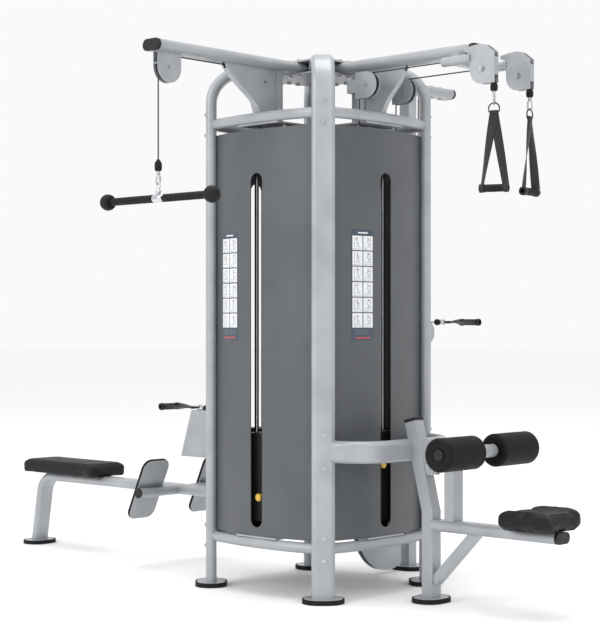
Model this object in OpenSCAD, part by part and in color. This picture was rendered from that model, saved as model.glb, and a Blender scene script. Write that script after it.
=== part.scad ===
/* [Tower] */
// Distance of each corner column from the tower's centre, along X and along Y
column_off = 360; // [330:5:400]
// Height of the tubes that cross over the top, at their centre line
top_z = 2435; // [2300:5:2600]
// Width of the flat-oval frame tube
tube_w = 105; // [80:1:120]
// Thickness of the flat-oval frame tube
tube_t = 50; // [40:1:60]
// Wall of every steel tube
wall = 3; // [2:0.5:4]
// Bend radius of the arches at the tube's centre line
bend_r = 150; // [110:5:200]
// Diameter of the bowed round rails
rail_d = 48; // [38:1:55]
// How far the rails bow outwards between two columns
rail_bow = 50; // [30:5:70]
// Height of the lower rails at their centre line
rail_low_z = 238; // [200:2:260]
// Height of the upper rails at their centre line
rail_high_z = 2183; // [2050:1:2250]

/* [Feet] */
// Long side of each oval foot
foot_l = 190; // [160:5:220]
// Short side of each oval foot
foot_w = 150; // [120:5:170]
// Thickness of the rubber under each foot
foot_pad_t = 14; // [8:1:20]
// Thickness of the steel foot plate
foot_plate_t = 6; // [4:1:10]

/* [Shrouds] */
// Straight width of a shroud from edge to edge
shroud_w = 639; // [560:1:639]
// Distance of a shroud's middle from the tower's centre
shroud_off = 420; // [412:1:440]
// How far a shroud bows outwards
shroud_bow = 55; // [35:1:70]
// Sheet thickness of a shroud
shroud_t = 4; // [3:0.5:6]
// Height of a shroud's upper edge
shroud_high_z = 2130; // [1990:5:2140]
// Depth of the return along each side of a shroud
return_d = 45; // [30:1:60]
// Width of the slot in front of a weight stack
slot_w = 74; // [60:1:90]
// Height of the slot's lower end
slot_low_z = 310; // [300:5:330]
// Height of the slot's upper end
slot_high_z = 1930; // [1800:5:1980]

/* [Weight stacks] */
// Distance of a stack's centre from the tower's centre
stack_off = 325; // [310:1:330]
// Number of plates in a stack
plate_n = 15; // [10:1:18]
// Height from one plate to the next
plate_pitch = 25; // [20:1:28]
// Width of a plate
plate_w = 250; // [220:2:260]
// Depth of a plate
plate_d = 110; // [90:2:116]
// Gap between two plates that rest on each other
plate_gap = 0.3; // [0.2:0.1:0.6]
// Diameter of a guide rod
rod_d = 20; // [16:1:25]
// Distance of each guide rod from the middle of its stack
rod_off = 90; // [75:1:100]
// Height of the rubber bumpers under a stack
bumper_h = 63; // [50:1:75]
// Diameter of the selector stem
stem_d = 24; // [20:1:28]
// Diameter of a selector pin
pin_d = 9.5; // [8:0.5:11]
// Diameter of a selector pin's knob
knob_d = 34; // [28:1:40]

/* [Pulleys and cables] */
// Outer diameter of a pulley
pulley_d = 110; // [90:1:120]
// Width of a pulley
pulley_w = 20; // [16:1:24]
// Radius at which the cable's centre runs on a pulley
cable_r = 52; // [42:1:56]
// Diameter of the cable
cable_d = 6; // [5:0.5:7]
// Diameter of a pulley's axle bolt
axle_d = 12; // [10:1:14]

/* [High pulley station] */
// Distance of the arm's capped end from the tower's centre
high_arm_l = 1060; // [900:10:1200]
// Distance of the end pulley's centre from the tower's centre
high_pulley_y = 965; // [800:5:1060]
// Height of the pull bar
bar_z = 1778; // [1650:2:1850]
// Distance between the ends of the pull bar
bar_l = 740; // [600:10:900]

/* [Lat station] */
// Distance of the lat arm's end from the tower's centre
lat_arm_l = 945; // [850:5:1000]
// Distance of each swivel pulley from the middle of the lat arm
swivel_y = 130; // [120:1:150]
// Distance of the hanging handles from the tower's centre
handle_x = 1125; // [1080:5:1180]
// Distance of the lat column's foot from the tower's centre
lat_column_x = 685; // [660:5:720]
// Height of the lat column
lat_column_h = 800; // [740:5:850]
// Distance of the lat beam's outer end from the tower's centre
lat_beam_l = 1385; // [1300:5:1450]
// Height of the seat beam at its centre line
lat_beam_z = 345; // [320:5:360]
// Distance of the lat seat's centre from the tower's centre
lat_seat_x = 1265; // [1240:5:1300]
// Distance of the thigh rollers from the tower's centre
roller_x = 975; // [940:5:1000]
// Height of the thigh rollers
roller_z = 686; // [670:2:700]
// Diameter of a thigh roller
roller_d = 146; // [120:2:150]
// Length of a thigh roller
roller_l = 253; // [220:1:270]

/* [Row station] */
// Distance of the bench leg's foot from the tower's centre
row_foot_x = 2151; // [2000:5:2250]
// Height of the bench beam at its centre line
row_beam_z = 388; // [370:2:400]
// Distance of the bench seat's centre from the tower's centre
row_seat_x = 1846; // [1700:2:1860]
// Length of the bench seat
row_seat_l = 630; // [560:5:640]
// Width of the bench seat
row_seat_w = 264; // [240:2:300]
// Thickness of a seat cushion
cushion_t = 68; // [50:1:80]
// Distance of the foot bar from the tower's centre
foot_bar_x = 950; // [900:5:1000]
// Length of the foot bar
foot_bar_l = 600; // [540:5:640]
// Tilt of the foot plates from upright
foot_tilt = 25; // [15:1:35]

/* [Adjustable pulley station] */
// Distance of the adjustable station's column from the tower's centre
adjust_y = 672; // [650:2:700]
// Side of the adjustable station's column
adjust_w = 60; // [50:1:70]
// Height of the sliding carriage's centre at rest
carriage_z = 1250; // [1000:10:1400]
// Distance of the stub arm's end from the tower's centre
stub_arm_l = 1000; // [900:5:1050]

/* [Hidden] */
$fn = 64;
fit = 0.3;                                  // clearance of sliding pieces, each side
run = 0.05;                                 // radial clearance on an axle
foot_h = foot_pad_t + foot_plate_t;
column_u = column_off * sqrt(2);            // a column's distance along the diagonal
column_top = top_z - bend_r;
tube_low = top_z - tube_t / 2;              // underside of the tubes on top
rail_high_low = rail_high_z - rail_d / 2;
bed_t = 8;
bed_z = rail_low_z + rail_d / 2;            // underside of the bed plate
bed_top = bed_z + bed_t;
shroud_low_z = bed_top + fit;
stack_low = bed_top + bumper_h;
stack_top = stack_low + plate_n * plate_pitch;
head_t = 28;
head_top = stack_top + head_t;
plate_t = plate_pitch - plate_gap;
bridge_t = 8;
bridge_z = rail_high_low - bridge_t;        // underside of the bridge plate
hub_half = 185;
hub_t = 8;
arm_start = 2.5 * tube_w / 2;               // where an arm clears the crossing tubes
post_off = stack_off - 35;
post_w = 40;
high_cable_z = tube_low - 10;
high_axle_z = high_cable_z - cable_r;
high_drop_y = high_pulley_y + cable_r;
inner_y = stack_off + cable_r;              // inner pulley of the high station
lat_cable_z = tube_low - 38;
lat_axle_z = lat_cable_z - cable_r;
lat_inner_x = plate_d / 2 + stack_off + cable_r - 8;
lat_drop_x = lat_inner_x - cable_r;
swivel_x = handle_x - cable_r;
hub_l = 150;                                // length of a swivel's hub tube
spindle_d = 28;
hub_d = 42;
swivel_r = 64;                              // half length of a swivel's cheeks
plate_gap_w = pulley_w + 4;                 // space between two cheek plates
cheek_t = 3;
strap_z = lat_cable_z - 228;                // where a strap leaves its ring
strap_h = 330;
strap_w = 40;
strap_foot = 21;                             // width of a leg where it meets the grip
strap_t = 4;
grip_l = 130;
grip_d = 32;
lean = 14;                                  // lean of the lat column's upper part
knee_z = 400;                               // where the lat column starts to lean
lat_tube = 60;
lean_h = (lat_column_h - knee_z) / cos(lean);
yoke_x = lat_column_x - 112;
yoke_r = 180;
yoke_z = 672;
yoke_y = column_off - tube_t / 2;
yoke_start = column_off + 16;               // clear of the shrouds' edges
pivot_x = lat_column_x + 8;
pivot_z = 590;
arm_slope = (roller_z - pivot_z) / (roller_x - pivot_x);
arm_h = 40;
// the arm's underside lies just above the saddle's inner edge
saddle_z = pivot_z + (lat_column_x + 95 - pivot_x) * arm_slope - arm_h / 2 / cos(atan(arm_slope))
  - fit;
beam_w = 100;
beam_t = 50;
pin_at = [4, 10, 7, 5];                     // plate held by the pin: high, lat, adjust, row
side_turn = [0, 90, 180, 270];              // stations: high, lat, adjust, row
row_cable_z = 812;
row_pulley_x = 620;
row_handle_x = 860;
row_arm_l = 480;
guard_y = 490;
lug_z = 300;
carriage_h = 170;
adjust_pulley_y = adjust_y + adjust_w / 2 + 105;

silver = [0.78, 0.79, 0.80];
shroud_grey = [0.36, 0.37, 0.38];
black = [0.06, 0.06, 0.06];
bright = [0.85, 0.85, 0.86];

// ---- profiles ----
module oval2d(w, t) {
  square([w - t, t], center = true);
  for (s = [-1, 1]) translate([s * (w - t) / 2, 0]) circle(d = t);
}
module oval_wall2d(w, t) {
  difference() {
    oval2d(w, t);
    oval2d(w - 2 * wall, t - 2 * wall);
  }
}
module box_wall2d(w, d) {
  difference() {
    square([w, d], center = true);
    square([w - 2 * wall, d - 2 * wall], center = true);
  }
}
module ring2d(d_out, d_in) {
  difference() {
    circle(d = d_out);
    circle(d = d_in);
  }
}
// A block from one corner to the other
module block(low, high) {
  translate(low) cube(high - low);
}
// A rod along X, Y or Z, centred on p
module rod_x(p, d, l) translate(p) rotate([0, 90, 0]) cylinder(d = d, h = l, center = true);
module rod_y(p, d, l) translate(p) rotate([90, 0, 0]) cylinder(d = d, h = l, center = true);
module rod_z(p, d, l) translate(p) cylinder(d = d, h = l, center = true);
// A quarter of a round bar bent about Y: from angle a0 in the XZ plane
module bend_y(p, r, d, a0, a) {
  translate(p) rotate([90, 0, 0]) rotate([0, 0, a0]) rotate_extrude(angle = a)
    translate([r, 0]) circle(d = d);
}

// ---- tower ----
// The plain outside of every corner column, to cut what meets it
module columns_solid() {
  for (a = [45, 135, 225, 315]) rotate([0, 0, a]) translate([column_u, 0, foot_h])
    linear_extrude(column_top - foot_h) rotate([0, 0, 90])
      oval2d(tube_w + 2 * run, tube_t + 2 * run);
}
module half_arch(reach) {
  translate([column_u, 0, foot_h]) linear_extrude(column_top - foot_h)
    rotate([0, 0, 90]) oval_wall2d(tube_w, tube_t);
  translate([column_u - bend_r, 0, column_top]) rotate([90, 0, 0]) rotate_extrude(angle = 90)
    translate([bend_r, 0]) rotate([0, 0, 90]) oval_wall2d(tube_w, tube_t);
  translate([column_u - bend_r - reach, 0, top_z]) rotate([0, 90, 0])
    linear_extrude(reach) rotate([0, 0, 90]) oval_wall2d(tube_w, tube_t);
}
module arch_front_back() {
  color(silver) for (a = [135, 315]) rotate([0, 0, a]) half_arch(column_u - bend_r);
}
module arch_sides() {
  color(silver) for (a = [45, 225]) difference() {
    rotate([0, 0, a]) half_arch(column_u - bend_r - tube_w / 2 + tube_t / 2);
    rotate([0, 0, a]) translate([0, 0, top_z]) rotate([90, 0, 0])
      linear_extrude(2 * tube_w, center = true) oval2d(tube_w + 2 * run, tube_t + 2 * run);
  }
}
module bowed_rail(z) {
  r = (pow(column_off, 2) + pow(rail_bow, 2)) / (2 * rail_bow);
  sweep = 2 * asin(column_off / r);
  difference() {
    translate([0, r - rail_bow - column_off, z]) rotate([0, 0, -90 - sweep / 2])
      rotate_extrude(angle = sweep, $fn = 360) translate([r, 0]) ring2d(rail_d, rail_d - 2 * wall);
    columns_solid();
  }
}
module rails() {
  color(silver) for (a = side_turn) rotate([0, 0, a]) {
    bowed_rail(rail_low_z);
    bowed_rail(rail_high_z);
  }
}
rail_edge = column_off + rail_bow + rail_d / 2;
// Two square plates hold the crossing tubes and arms; the bridge plate carries rods and posts
module crossing_plates() {
  color(silver) {
    for (z = [tube_low - hub_t - run, top_z + tube_t / 2 + run])
      difference() {
        block([-hub_half, -hub_half, z], [hub_half, hub_half, z + hub_t]);
        for (a = side_turn) rotate([0, 0, a]) for (s = [-1, 1])
          rod_z([s * 30, -hub_half + 22, z], axle_d, 4 * hub_t);
      }
    difference() {
      union() {
        cross_reach = column_off + rail_bow;
        block([-cross_reach, -plate_w / 2, bridge_z], [cross_reach, plate_w / 2, rail_high_low]);
        block([-plate_w / 2, -cross_reach, bridge_z], [plate_w / 2, cross_reach, rail_high_low]);
      }
      for (a = side_turn) rotate([0, 0, a]) translate([0, -stack_off, bridge_z]) {
        for (s = [-1, 1]) rod_z([s * rod_off, 0, 0], rod_d + 2 * run, 4 * bridge_t);
        rod_z([0, 0, 0], 5 * cable_d, 4 * bridge_t);
      }
      block([lat_drop_x - 15, -swivel_y - 15, bridge_z - 1], [lat_drop_x + 15, swivel_y + 15,
        rail_high_low + 1]);
    }
  }
}
module bed_plate() {
  reach = shroud_off + 2;
  color(silver) difference() {
    union() {
      block([-reach, -plate_w / 2, bed_z], [reach, plate_w / 2, bed_top]);
      block([-plate_w / 2, -reach, bed_z], [plate_w / 2, reach, bed_top]);
    }
    for (a = side_turn) rotate([0, 0, a]) translate([0, -stack_off, bed_z])
      for (s = [-1, 1]) rod_z([s * rod_off, 0, 0], rod_d + 2 * run, 4 * bed_t);
  }
}
module arm(reach, bolt_y = []) {
  difference() {
    translate([0, -reach, top_z]) rotate([-90, 0, 0]) linear_extrude(reach - arm_start)
      oval_wall2d(tube_w, tube_t);
    for (s = [-1, 1]) rod_z([s * 30, -hub_half + 22, top_z], axle_d, 2 * tube_t);
    for (y = bolt_y) rod_z([0, -y, top_z], axle_d, 2 * tube_t);
  }
}
cap_t = 14;
stub_bolt_y = [860, 930];                   // bolts through an arm's outer end
module arms() {
  color(silver) {
    arm(high_arm_l - cap_t);
    rotate([0, 0, 90]) arm(lat_arm_l - cap_t);
    rotate([0, 0, 180]) arm(stub_arm_l - cap_t, stub_bolt_y);
    rotate([0, 0, 270]) arm(row_arm_l - cap_t);
    // cross bar under the lat arm's end, with the two tubes that the swivels turn in
    block([lat_arm_l - 60, -swivel_y + hub_d / 2 - 4, lat_cable_z - 15], [lat_arm_l - 20,
      swivel_y - hub_d / 2 + 4, tube_low]);
    for (s = [-1, 1]) translate([swivel_x - swivel_r - 4 - fit - hub_l, s * swivel_y, lat_cable_z])
      rotate([0, 90, 0]) linear_extrude(hub_l) ring2d(hub_d, spindle_d + 2 * run);
  }
}
module oval_cap(w, t, h) {
  linear_extrude(h) oval2d(w, t);
}
module end_caps() {
  color(black) {
    for (k = [[0, high_arm_l], [90, lat_arm_l], [180, stub_arm_l], [270, row_arm_l]])
      rotate([0, 0, k[0]]) translate([0, -k[1], top_z]) rotate([-90, 0, 0])
        oval_cap(tube_w + 1, tube_t + 1, cap_t);
    translate([lat_beam_l - cap_t, 0, lat_beam_z]) rotate([0, 90, 0]) rotate([0, 0, 90])
      oval_cap(beam_w, beam_t, cap_t);
    on_lean() translate([0, 0, lean_h + cap_t / 2])
      cube([lat_tube + 2, lat_tube + 2, cap_t], center = true);
    for (s = [-1, 1]) rod_y([-foot_bar_x, s * (foot_bar_l + 8) / 2, row_beam_z], rail_d + 2, 8);
  }
}
// S-shaped edge of a gusset as points from the arm down to the rail
function s_edge(y_top, y_low, z_top, z_low, off) = [for (i = [0:12])
  let (k = i / 12, c = (1 - cos(180 * k)) / 2)
  [y_top + (y_low - y_top) * (0.3 * k + 0.7 * c) + off, z_top + (z_low - z_top) * k]];
module gusset(y_top) {
  y_low = rail_edge - 26;
  z_low = rail_high_z + rail_d / 2 - 4;
  edge = s_edge(y_top, y_low, tube_low, z_low, 0);
  edge_in = s_edge(y_top - 7, y_low - 7, tube_low, z_low, 0);
  inner = [[inner_y - 20, z_low], [post_off + post_w / 2, z_low], [post_off + post_w / 2, tube_low]];
  difference() {
    union() {
      for (s = [-1, 1]) translate([s * (plate_gap_w + cheek_t) / 2, 0, 0]) rotate([90, 0, -90])
        linear_extrude(cheek_t, center = true) polygon(concat(edge_in, inner));
      rotate([90, 0, -90]) linear_extrude(plate_gap_w + 2 * cheek_t, center = true)
        polygon(concat(edge, [for (i = [12:-1:0]) edge_in[i]]));
    }
    block([-8, -y_top - 5, high_cable_z - 14], [8, -post_off, tube_low + 1]);
    rod_x([0, -inner_y, high_axle_z], axle_d + 2 * run, 100);
    rail_solid(rail_high_z);
  }
}
module rail_solid(z) {
  r = (pow(column_off, 2) + pow(rail_bow, 2)) / (2 * rail_bow);
  translate([0, r - rail_bow - column_off, z]) rotate([0, 0, -100])
    rotate_extrude(angle = 20, $fn = 360) translate([r, 0]) circle(d = rail_d + 2 * run);
}
module gussets() {
  color(silver) {
    gusset(630);
    rotate([0, 0, 90]) gusset(545);
    rotate([0, 0, 270]) gusset(460);
    for (a = side_turn) rotate([0, 0, a]) translate([0, -post_off, rail_high_low])
      linear_extrude(tube_low - rail_high_low) box_wall2d(post_w + 10, post_w);
  }
}
// Two cheek plates with a half-round lower end
module cheeks(r, h, axle) {
  for (s = [-1, 1]) translate([s * (plate_gap_w + cheek_t) / 2, 0, 0]) rotate([90, 0, 90])
    linear_extrude(cheek_t, center = true) difference() {
      intersection() {
        union() {
          circle(r = r);
          translate([-r, 0]) square([2 * r, h]);
        }
        translate([-r, -r]) square([2 * r, r + h]);
      }
      circle(d = axle);
    }
}
module pulley_housings() {
  web = plate_gap_w + 2 * cheek_t;
  color(silver) {
    translate([0, -high_pulley_y, high_axle_z]) {
      cheeks(68, tube_low - high_axle_z, axle_d + 2 * run);
      block([-plate_gap_w / 2, -68, tube_low - high_axle_z - 4], [plate_gap_w / 2, 68,
        tube_low - high_axle_z]);
      rod_x([0, -63, 12], 8, plate_gap_w);
    }
    // cross bar behind the two inner lat pulleys, with a D-shaped cheek pair at each end
    bar_x = post_off + post_w / 2;
    for (m = [0, 1]) mirror([0, m, 0]) block([bar_x, web / 2, lat_axle_z - 30],
      [lat_drop_x - 12, swivel_y + web / 2, lat_axle_z + 30]);
    for (s = [-1, 1]) translate([lat_inner_x, s * swivel_y, lat_axle_z]) rotate([0, 0, 90])
      for (k = [-1, 1]) translate([k * (plate_gap_w + cheek_t) / 2, 0, 0]) rotate([90, 0, 90])
        linear_extrude(cheek_t, center = true) difference() {
          union() {
            circle(r = 60);
            translate([0, -60]) square([lat_inner_x - lat_drop_x + 12, 120]);
          }
          circle(d = axle_d + 2 * run);
        }
  }
}

// ---- shrouds ----
// A shroud from above: a bowed sheet with a return along each side
module shroud_profile() {
  r = (pow(shroud_w / 2, 2) + pow(shroud_bow, 2)) / (2 * shroud_bow);
  edge_y = shroud_off - shroud_bow;
  intersection() {
    translate([0, r - shroud_off]) difference() {
      circle(r = r, $fn = 360);
      circle(r = r - shroud_t, $fn = 360);
    }
    translate([-shroud_w / 2, -shroud_off - 1]) square([shroud_w, shroud_bow + shroud_t + 2]);
  }
  for (s = [-1, 1]) translate([s * (shroud_w - shroud_t) / 2, -edge_y + (return_d + shroud_t) / 2])
    square([shroud_t, return_d], center = true);
}
module shroud() {
  slot_l = slot_high_z - slot_low_z;
  difference() {
    translate([0, 0, shroud_low_z]) linear_extrude(shroud_high_z - shroud_low_z) shroud_profile();
    translate([0, -shroud_off, (slot_low_z + slot_high_z) / 2]) rotate([90, 0, 0])
      linear_extrude(60, center = true) rotate([0, 0, 90]) oval2d(slot_l, slot_w);
  }
}
module shrouds() {
  color(shroud_grey) for (a = side_turn) rotate([0, 0, a]) shroud();
}

// ---- feet ----
// Places of the feet: x, y, turn
foot_at = concat([for (a = [45, 135, 225, 315]) [column_u * cos(a), column_u * sin(a), a]],
  [[lat_column_x, 0, 0], [-row_foot_x, 0, 0], [0, adjust_y, 90]]);
module foot_plates_steel() {
  color(silver) for (f = foot_at) translate([f[0], f[1], foot_pad_t]) rotate([0, 0, f[2] + 90])
    linear_extrude(foot_plate_t) oval2d(foot_l - 16, foot_w - 16);
}
module foot_pads() {
  color(black) for (f = foot_at) translate([f[0], f[1], 0]) rotate([0, 0, f[2] + 90])
    difference() {
      linear_extrude(foot_pad_t + foot_plate_t) oval2d(foot_l, foot_w);
      translate([0, 0, foot_pad_t]) linear_extrude(2 * foot_plate_t)
        oval2d(foot_l - 16, foot_w - 16);
    }
}

// ---- weight stacks ----
module plate_blank(z, t) {
  difference() {
    translate([0, -stack_off, z + t / 2]) cube([plate_w, plate_d, t], center = true);
    for (s = [-1, 1]) rod_z([s * rod_off, -stack_off, z + t / 2], rod_d + 2 * fit, t + 2);
    rod_z([0, -stack_off, z + t / 2], stem_d + 2 * fit, t + 2);
  }
}
module weight_plate(i) {
  z = stack_low + i * plate_pitch;
  difference() {
    plate_blank(z, plate_t);
    rod_y([0, -stack_off - plate_d / 4, z + plate_t / 2], pin_d + 2 * fit, plate_d / 2 + 1);
  }
}
module lifted_stack(k) {
  rotate([0, 0, side_turn[k]]) {
    color(black) for (i = [pin_at[k]:plate_n - 1]) weight_plate(i);
    // head plate and stem are one welded piece
    color(bright) difference() {
      union() {
        translate([0, -stack_off, stack_top + head_t / 2]) cube([plate_w, plate_d, head_t],
          center = true);
        rod_z([0, -stack_off, (stack_low + stack_top) / 2], stem_d, stack_top - stack_low);
        if (k == 1) block([-swivel_y - 15, -lat_drop_x - 8, head_top], [swivel_y + 15,
          -stack_off + 20, head_top + 8]);
      }
      for (s = [-1, 1]) rod_z([s * rod_off, -stack_off, stack_top], rod_d + 2 * fit, 3 * head_t);
      for (i = [0:plate_n - 1]) rod_y([0, -stack_off, stack_low + i * plate_pitch + plate_t / 2],
        pin_d + 2 * fit, 2 * stem_d);
    }
  }
}
module stack_high() lifted_stack(0);
module stack_lat() lifted_stack(1);
module stack_adjust() lifted_stack(2);
module stack_row() lifted_stack(3);
module resting_plates() {
  color(black) for (k = [0:3]) rotate([0, 0, side_turn[k]])
    for (i = [0:pin_at[k] - 1]) weight_plate(i);
}
module selector_pin(k) {
  z = stack_low + pin_at[k] * plate_pitch + plate_t / 2;
  front = stack_off + plate_d / 2;
  tip = stack_off - stem_d / 2 + 2;
  color("goldenrod") rotate([0, 0, side_turn[k]]) {
    translate([0, -front - 8, z]) rotate([-90, 0, 0]) cylinder(d = pin_d, h = front + 8 - tip);
    translate([0, -front - fit, z]) rotate([90, 0, 0]) cylinder(d = knob_d * 0.6, h = 8);
    translate([0, -front - fit - 8, z]) rotate([90, 0, 0]) cylinder(d = knob_d, h = 20);
  }
}
module pin_high() selector_pin(0);
module pin_lat() selector_pin(1);
module pin_adjust() selector_pin(2);
module pin_row() selector_pin(3);
module guide_rods() {
  color(bright) for (a = side_turn) rotate([0, 0, a]) for (s = [-1, 1])
    translate([s * rod_off, -stack_off, bed_z]) cylinder(d = rod_d, h = rail_high_low - bed_z);
}
module bumpers() {
  color(black) for (a = side_turn) rotate([0, 0, a]) for (s = [-1, 1])
    translate([s * rod_off, -stack_off, bed_top]) linear_extrude(bumper_h - fit)
      ring2d(48, rod_d + 2 * fit);
}

// ---- pulleys ----
module pulley() {
  rotate([0, 90, 0]) rotate_extrude() difference() {
    translate([axle_d / 2 + run, -pulley_w / 2]) square([(pulley_d - axle_d) / 2 - run, pulley_w]);
    translate([cable_r, 0]) circle(d = cable_d + 1);
    translate([cable_r, -cable_d / 2 - 0.5]) square([20, cable_d + 1]);
    for (s = [-1, 1]) translate([30, s * (pulley_w / 2)]) square([16, 8], center = true);
  }
}
module pulley_high_end() color(black) translate([0, -high_pulley_y, high_axle_z]) pulley();
module pulley_high_inner() color(black) translate([0, -inner_y, high_axle_z]) pulley();
module pulleys_lat_inner() {
  color(black) for (s = [-1, 1]) translate([lat_inner_x, s * swivel_y, lat_axle_z])
    rotate([0, 0, 90]) pulley();
}
module swivel_pulley(s) {
  color(black) translate([swivel_x, s * swivel_y, lat_axle_z]) rotate([0, 0, 90]) pulley();
}
module pulley_near() swivel_pulley(-1);
module pulley_far() swivel_pulley(1);
module pulley_row() {
  color(black) translate([-row_pulley_x, 0, row_cable_z - cable_r]) rotate([0, 0, 90]) pulley();
}
module pulley_adjust() {
  color(black) translate([0, adjust_pulley_y, carriage_z - cable_r]) pulley();
}
// A housing that turns about the incoming cable: hollow spindle, flange, cheeks and front
module swivel(s) {
  back = swivel_x - swivel_r;
  color(silver) translate([0, s * swivel_y, 0]) {
    translate([back - hub_l + 20, 0, lat_cable_z]) rotate([0, 90, 0])
      linear_extrude(hub_l - 18) ring2d(spindle_d, 14);
    translate([back - 4, 0, lat_cable_z]) rotate([0, 90, 0]) linear_extrude(6)
      ring2d(hub_d + 10, 14);
    for (k = [-1, 1]) translate([0, k * (plate_gap_w + cheek_t) / 2, 0]) rotate([90, 0, 0])
      linear_extrude(cheek_t, center = true) difference() {
        union() {
          translate([swivel_x, lat_axle_z]) circle(r = swivel_r);
          translate([swivel_x, lat_axle_z - swivel_r]) square([swivel_r, 110]);
          translate([back, lat_axle_z]) square([swivel_r, 74]);
          // crown that reaches back over the hub tube
          translate([swivel_x, lat_axle_z]) polygon([[-swivel_r - 30, 82], [-swivel_r - 30, 96],
            [-swivel_r + 16, 104], [-6, 106], [20, 100], [swivel_r, 66], [swivel_r, 0], [-swivel_r, 0],
            [-swivel_r, 70]]);
        }
        translate([swivel_x, lat_axle_z]) circle(d = axle_d + 2 * run);
      }
    block([swivel_x + swivel_r - 3, -plate_gap_w / 2, lat_axle_z - 30], [swivel_x + swivel_r,
      plate_gap_w / 2, lat_axle_z + 46]);
    rod_y([swivel_x, 0, lat_axle_z], axle_d, plate_gap_w + 2 * cheek_t + 12);
  }
}
module swivel_near() swivel(-1);
module swivel_far() swivel(1);

// ---- cables ----
// Fixed runs: along the arms, round the pulleys and down to the low stations
module cables() {
  color(black) {
    rod_y([0, -(high_pulley_y + inner_y) / 2, high_cable_z], cable_d, high_pulley_y - inner_y);
    rotate([0, 0, 90]) bend_y([-high_pulley_y, 0, high_axle_z], cable_r, cable_d, 90, 90);
    rotate([0, 0, 90]) bend_y([-inner_y, 0, high_axle_z], cable_r, cable_d, 0, 90);
    for (s = [-1, 1]) {
      rod_x([(lat_inner_x + swivel_x) / 2, s * swivel_y, lat_cable_z], cable_d,
        swivel_x - lat_inner_x);
      bend_y([lat_inner_x, s * swivel_y, lat_axle_z], cable_r, cable_d, 90, 90);
    }
    // row: over its pulley and down into the hollow beam
    bend_y([-row_pulley_x, 0, row_cable_z - cable_r], cable_r, cable_d, 0, 90);
    rod_z([-row_pulley_x + cable_r, 0, (row_cable_z - cable_r + row_beam_z) / 2], cable_d,
      row_cable_z - cable_r - row_beam_z);
    // adjustable: from the stub arm down past the carriage to its lug
    rod_z([0, adjust_pulley_y - cable_r, (tube_low + lug_z) / 2], cable_d, tube_low - lug_z);
  }
}
module cable_drop_high() {
  color(black) drop_run([0, -stack_off], head_top, high_axle_z);
}
module cable_drop_lat() {
  color(black) for (s = [-1, 1]) drop_run([lat_drop_x, s * swivel_y], head_top + 8, lat_axle_z);
}
module cable_drop_adjust() {
  color(black) drop_run([0, stack_off], head_top, tube_low);
}
module cable_drop_row() {
  color(black) drop_run([-stack_off, 0], head_top, tube_low);
}
module drop_run(at, z0, z1) translate([at[0], at[1], z0]) cylinder(d = cable_d, h = z1 - z0);

// ---- pull bar ----
module bar_rod() {
  stop_z = bar_z + 115;
  color(bright) translate([0, -high_drop_y, 0]) {
    rod_x([0, 0, bar_z], 24, bar_l - 90);
    rod_x([0, 0, bar_z], 36, 52);
    rod_z([0, 0, bar_z + 28], 16, 30);
    translate([0, 0, bar_z + 54]) rotate([90, 0, 0]) rotate_extrude() translate([13, 0])
      circle(d = 6);
    for (s = [-1, 1]) block([s * 9 - 2.5, -2.5, bar_z + 66], [s * 9 + 2.5, 2.5, stop_z]);
    translate([0, 0, stop_z]) cylinder(d = 30, h = 50);
    translate([0, 0, stop_z + 50]) cylinder(d = cable_d, h = high_axle_z - stop_z - 50);
  }
}
module bar_grips() {
  ball_r = 37;
  grip_end = bar_l / 2 - ball_r - 25;
  color(black) translate([0, -high_drop_y, bar_z]) for (s = [-1, 1]) {
    difference() {
      rod_x([s * (30 + grip_end) / 2, 0, 0], 34, grip_end - 30 - fit);
      rod_x([s * bar_l / 4, 0, 0], 24 + 2 * run, bar_l);
    }
    // ball end, flat where it meets the grip, with a blind bore for the rod
    translate([s * (bar_l / 2 - ball_r), 0, 0]) rotate([0, s * 90, 0]) rotate_extrude()
      intersection() {
        circle(r = ball_r);
        union() {
          translate([12 + run, 12 - ball_r]) square(2 * ball_r);
          translate([0, 30 - ball_r]) square(2 * ball_r);
        }
      }
  }
}

// ---- strap handles ----
// Two flat webbing legs, sewn together below the ring, with the hand's opening between them
module strap_loop(h) {
  neck = strap_w / 2;
  foot = grip_l / 2 - 1;
  difference() {
    rotate([90, 0, 0]) linear_extrude(strap_t, center = true) difference() {
      polygon([[-neck, -12 - fit], [-foot, -h], [foot, -h], [neck, -12 - fit]]);
      polygon([[0, -0.4 * h], [strap_foot - foot, -h - 1], [foot - strap_foot, -h - 1]]);
    }
    rod_x([0, 0, -h - 2], grip_d + 2 * fit, 2 * grip_l);
  }
}
module grip_tube(h) rod_x([0, 0, -h - 2], grip_d, grip_l);
// Ring, snap link and cable stop above the strap
module ring_link(ring_r, l, stop_l) {
  translate([0, 0, ring_r - 9]) rotate([90, 0, 0]) rotate_extrude() translate([ring_r, 0])
    circle(d = 6);
  for (s = [-1, 1]) block([s * 6 - 2.5, -2.5, 2 * ring_r - 8], [s * 6 + 2.5, 2.5, l]);
  translate([0, 0, l]) cylinder(d = 28, h = stop_l);
}
near_turn = 20;
far_turn = 95;
module hanging(s, turn) {
  translate([handle_x, s * swivel_y, strap_z]) rotate([0, 0, turn]) children();
}
module handle(s, turn) {
  color(black) hanging(s, turn) {
    strap_loop(strap_h);
    grip_tube(strap_h);
  }
}
module handle_link(s, turn) {
  color(bright) hanging(s, turn) {
    ring_link(22, 72, 38);
    translate([0, 0, 110]) cylinder(d = cable_d, h = lat_axle_z - strap_z - 110);
  }
}
module handle_near() handle(-1, near_turn);
module handle_far() handle(1, far_turn);
module link_near() handle_link(-1, near_turn);
module link_far() handle_link(1, far_turn);
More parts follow.
